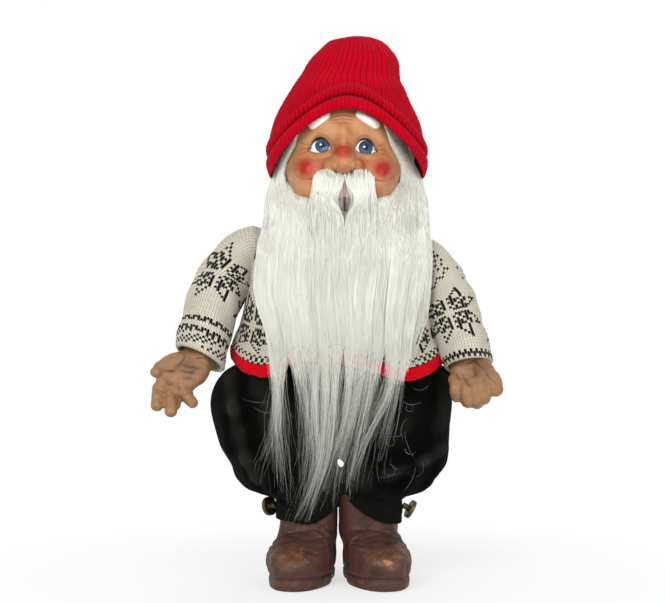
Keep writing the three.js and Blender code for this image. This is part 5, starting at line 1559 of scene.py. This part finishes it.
def moustacheStrands():
    m = moustache
    rng, draw, sway = dice(m["seed"], m["count"])
    s = alongSteps(m["steps"])
    place, deep = draw(-1, 1), draw(0, 1)
    wide = np.abs(place)
    top = m["top"] + m["rise"] * np.sin(math.pi * wide ** 1.5) - 1.5 * wide ** 4
    hang = 26 + 62 * draw(0, 1) ** 1.4
    z = top - 5 * deep - hang * s ** 1.3 - 3 * fall(s, 0, 0.1)
    x = m["middle"] + place * (m["half"] + m["flare"] * ease(s, 0.1, 0.8)) + sway(1.2) * s ** 1.4
    fine = draw(0, 1) < m["fineShare"]  # hairs that hang over the mouth
    bare = (4.2 + 6.3 * draw(0, 1) ** 0.4) * fall(wide, 0.35, 0.95) * bell(z - m["mouthZ"], 9.5) * (1 - fine)
    off = x - m["parting"]
    x = m["parting"] + np.sign(off[:, :1]) * np.sqrt(off ** 2 + bare ** 2)
    skin = faceY(x, z)
    y = skin + 0.8 - (1.6 + 5 * (1 - deep)) * (1 - 0.35 * wide) * ease(s, 0, 0.24)
    near = (head["viewDistance"] + y) / head["viewDistance"]
    x, z = x * near, head["viewHeight"] + (z - head["viewHeight"]) * near
    rest = np.minimum(frontOf(x, z, draw(0.95, 1.1)), skin - 1.0)
    y = mix(y, rest, ease(s, 0.35, 0.8))
    radius = np.where(fine, m["fineRadius"], m["radius"])
    # the moustache is painted 3 % lighter than the other fur: painted light against the shade between its
    # strands
    return grown(np.stack([x, y, z], -1), rng, radius, root=0.2, light=1.03)


softNeck(furPiece("moustacheStrands", moustacheStrands(), fur["forward"], "moustache"))


# Hair beside the face and round the back of the head
sideHair = {
    "count": 2600, "steps": 12, "seed": 121, "middle": 4.0, "shift": -1.5, "leftTuck": 2.8,
    "edges": [  # height, then the front edge and the back edge: how far out, and how far forward
        [150, 30, 44, 60, 52], [168, 32, 48, 57, 48], [190, 36, 57, 52, 40], [215, 35, 60.5, 50, 36],
        [240, 34, 61.5, 46, 28], [262, 33.5, 60, 38, 18], [274, 34.5, 59.5, 30, 12],
        [281, 36.5, 58.5, 22, 6], [288, 40, 57, 14, 0], [297, 42.6, 55, 11, -4], [303, 41.2, 53, 16, -6],
        [309, 38.4, 51.5, 22, -7], [315, 34.4, 50, 28.5, -8], [325, 31.8, 47.5, 31.5, -8],
        [336, 27.5, 44, 33, -8]],
}
backHair = {"count": 1950, "steps": 10, "seed": 131}
strayHair = {"count": 30, "steps": 16, "seed": 141, "radius": 0.04}
sideEdges = curveThrough(sideHair["edges"])


def sideSheet(side, back, z, depth):  # hair beside the face, from its front edge to its back edge
    inner, outer, front, rear = sideEdges(z)
    x = sideHair["middle"] + sideHair["shift"] * (1 - back) + side * (mix(inner, outer, back) + 0.35 * depth)
    x = x + (side < 0) * sideHair["leftTuck"] * unit(back) * ease(z, 236, 266)
    y = -mix(front, rear, np.maximum(back, 0) ** 1.3)
    y = mix(y, frontOf(x, z, 0.5), ease(284 - z, 0, 32)) - depth
    return np.stack([x, y, z], -1)


def sideStrands():  # hair that comes from under the cap beside the face
    rng, draw, sway = dice(sideHair["seed"], sideHair["count"])
    s = alongSteps(sideHair["steps"])
    side = np.where(draw(0, 1) < 0.5, -1, 1)
    back = draw(0, 1)
    z = mix(mix(333, 312, back) - draw(0, 12), draw(158, 238), s)
    stray = 0.7 * draw(0, 1) ** 2 * ease(0.4 - back, 0, 0.3)
    drift = back + sway(0.06) * s + 0.03 * np.sin(6 * s + 13 * back) - stray * ease(286 - z, 0, 44)
    drift = np.minimum(drift, 1.02 + 0.07 * (draw(0, 1) < 0.06))
    paths = sideSheet(side, drift, z, draw(1.0, 3.6) * ease(s, 0, 0.12))
    outward = np.stack([-0.7 * side + 0 * z, np.full_like(z, 0.7), 0 * z], -1)
    return grown(paths, rng, fur["radius"]), outward


def sidePad(side):
    def place(u, v):
        z = mix(258, 333, v) - 18 * u * v
        depth = 0.2 - 1.8 * ease(304 - z, 0, 12)
        return sideSheet(side, 0.04 + 0.94 * u, z, depth), furPaint(0.94, len(u))
    return place


sidePads = joinPieces([gridPiece("pad", 24, 60, sidePad(side)) for side in (-1, 1)], "sideHairPads")
applyModifier(sidePads, "SOLIDIFY", thickness=0.001, offset=0)
finishPiece(sidePads, furFibre, None, "white_fur")
softNeck(sidePads)
softNeck(furPiece("sideHair", *sideStrands()))


def aroundHead(middle, wide, turn, z):
    return np.stack([middle + wide * np.sin(turn), -wide * np.cos(turn), z], -1)


def backStrands():
    rng, draw, _ = dice(backHair["seed"], backHair["count"])
    s = alongSteps(backHair["steps"])
    turn = np.radians(draw(82, 278)) + 0.05 * np.sin(6 * s)
    z = draw(284, 322) - draw(16, 44) * s
    z = np.maximum(z, 266 + 4 * s)
    wide = 44.5 + 3.5 * np.sin(math.pi * s) + draw(0, 4.5) - 9 * ease(285 - z, 0, 22)
    outward = np.stack([-np.sin(turn), np.cos(turn), 0 * z], -1)
    return grown(aroundHead(3.5, wide, turn, z), rng, fur["radius"]), outward


def backCapPlace(u, v):
    turn = math.radians(86) + math.radians(188) * u
    z = mix(268, 326, v)
    wide = 45.2 - 10 * ease(285 - z, 0, 20) - 2.0 * ease(z, 320, 330)
    return aroundHead(3.1, wide, turn, z), furPaint(0.9, len(u))


backCap = gridPiece("backHairPad", 60, 24, backCapPlace)
applyModifier(backCap, "SOLIDIFY", thickness=0.002, offset=-1)
finishPiece(backCap, furFibre, "head", "white_fur", "hair_back")
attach(furPiece("backHair", *backStrands()), "head")


def strayStrands():  # loose curly hairs caught on the trousers, most of them on the right leg
    rng, draw, sway = dice(strayHair["seed"], strayHair["count"])
    steps = strayHair["steps"]
    right = draw(0, 1) < 0.8
    x = np.where(right, draw(26, 58), draw(-58, -40))
    z = np.where(right, draw(84, 148), draw(92, 145))
    turn = draw(-3.0, -0.2) + sway(2.2) * alongSteps(steps)
    step = draw(8, 22) / (steps - 1)
    x = x + np.cumsum(np.cos(turn) * step, axis=1)
    z = z + np.cumsum(np.sin(turn) * step, axis=1)
    y = frontOf(x, z, draw(-0.1, 0.4))
    return grown(np.stack([x, y, z], -1), rng, strayHair["radius"], light=0.5)


softNeck(furPiece("strayHair", strayStrands(), fur["forward"]))
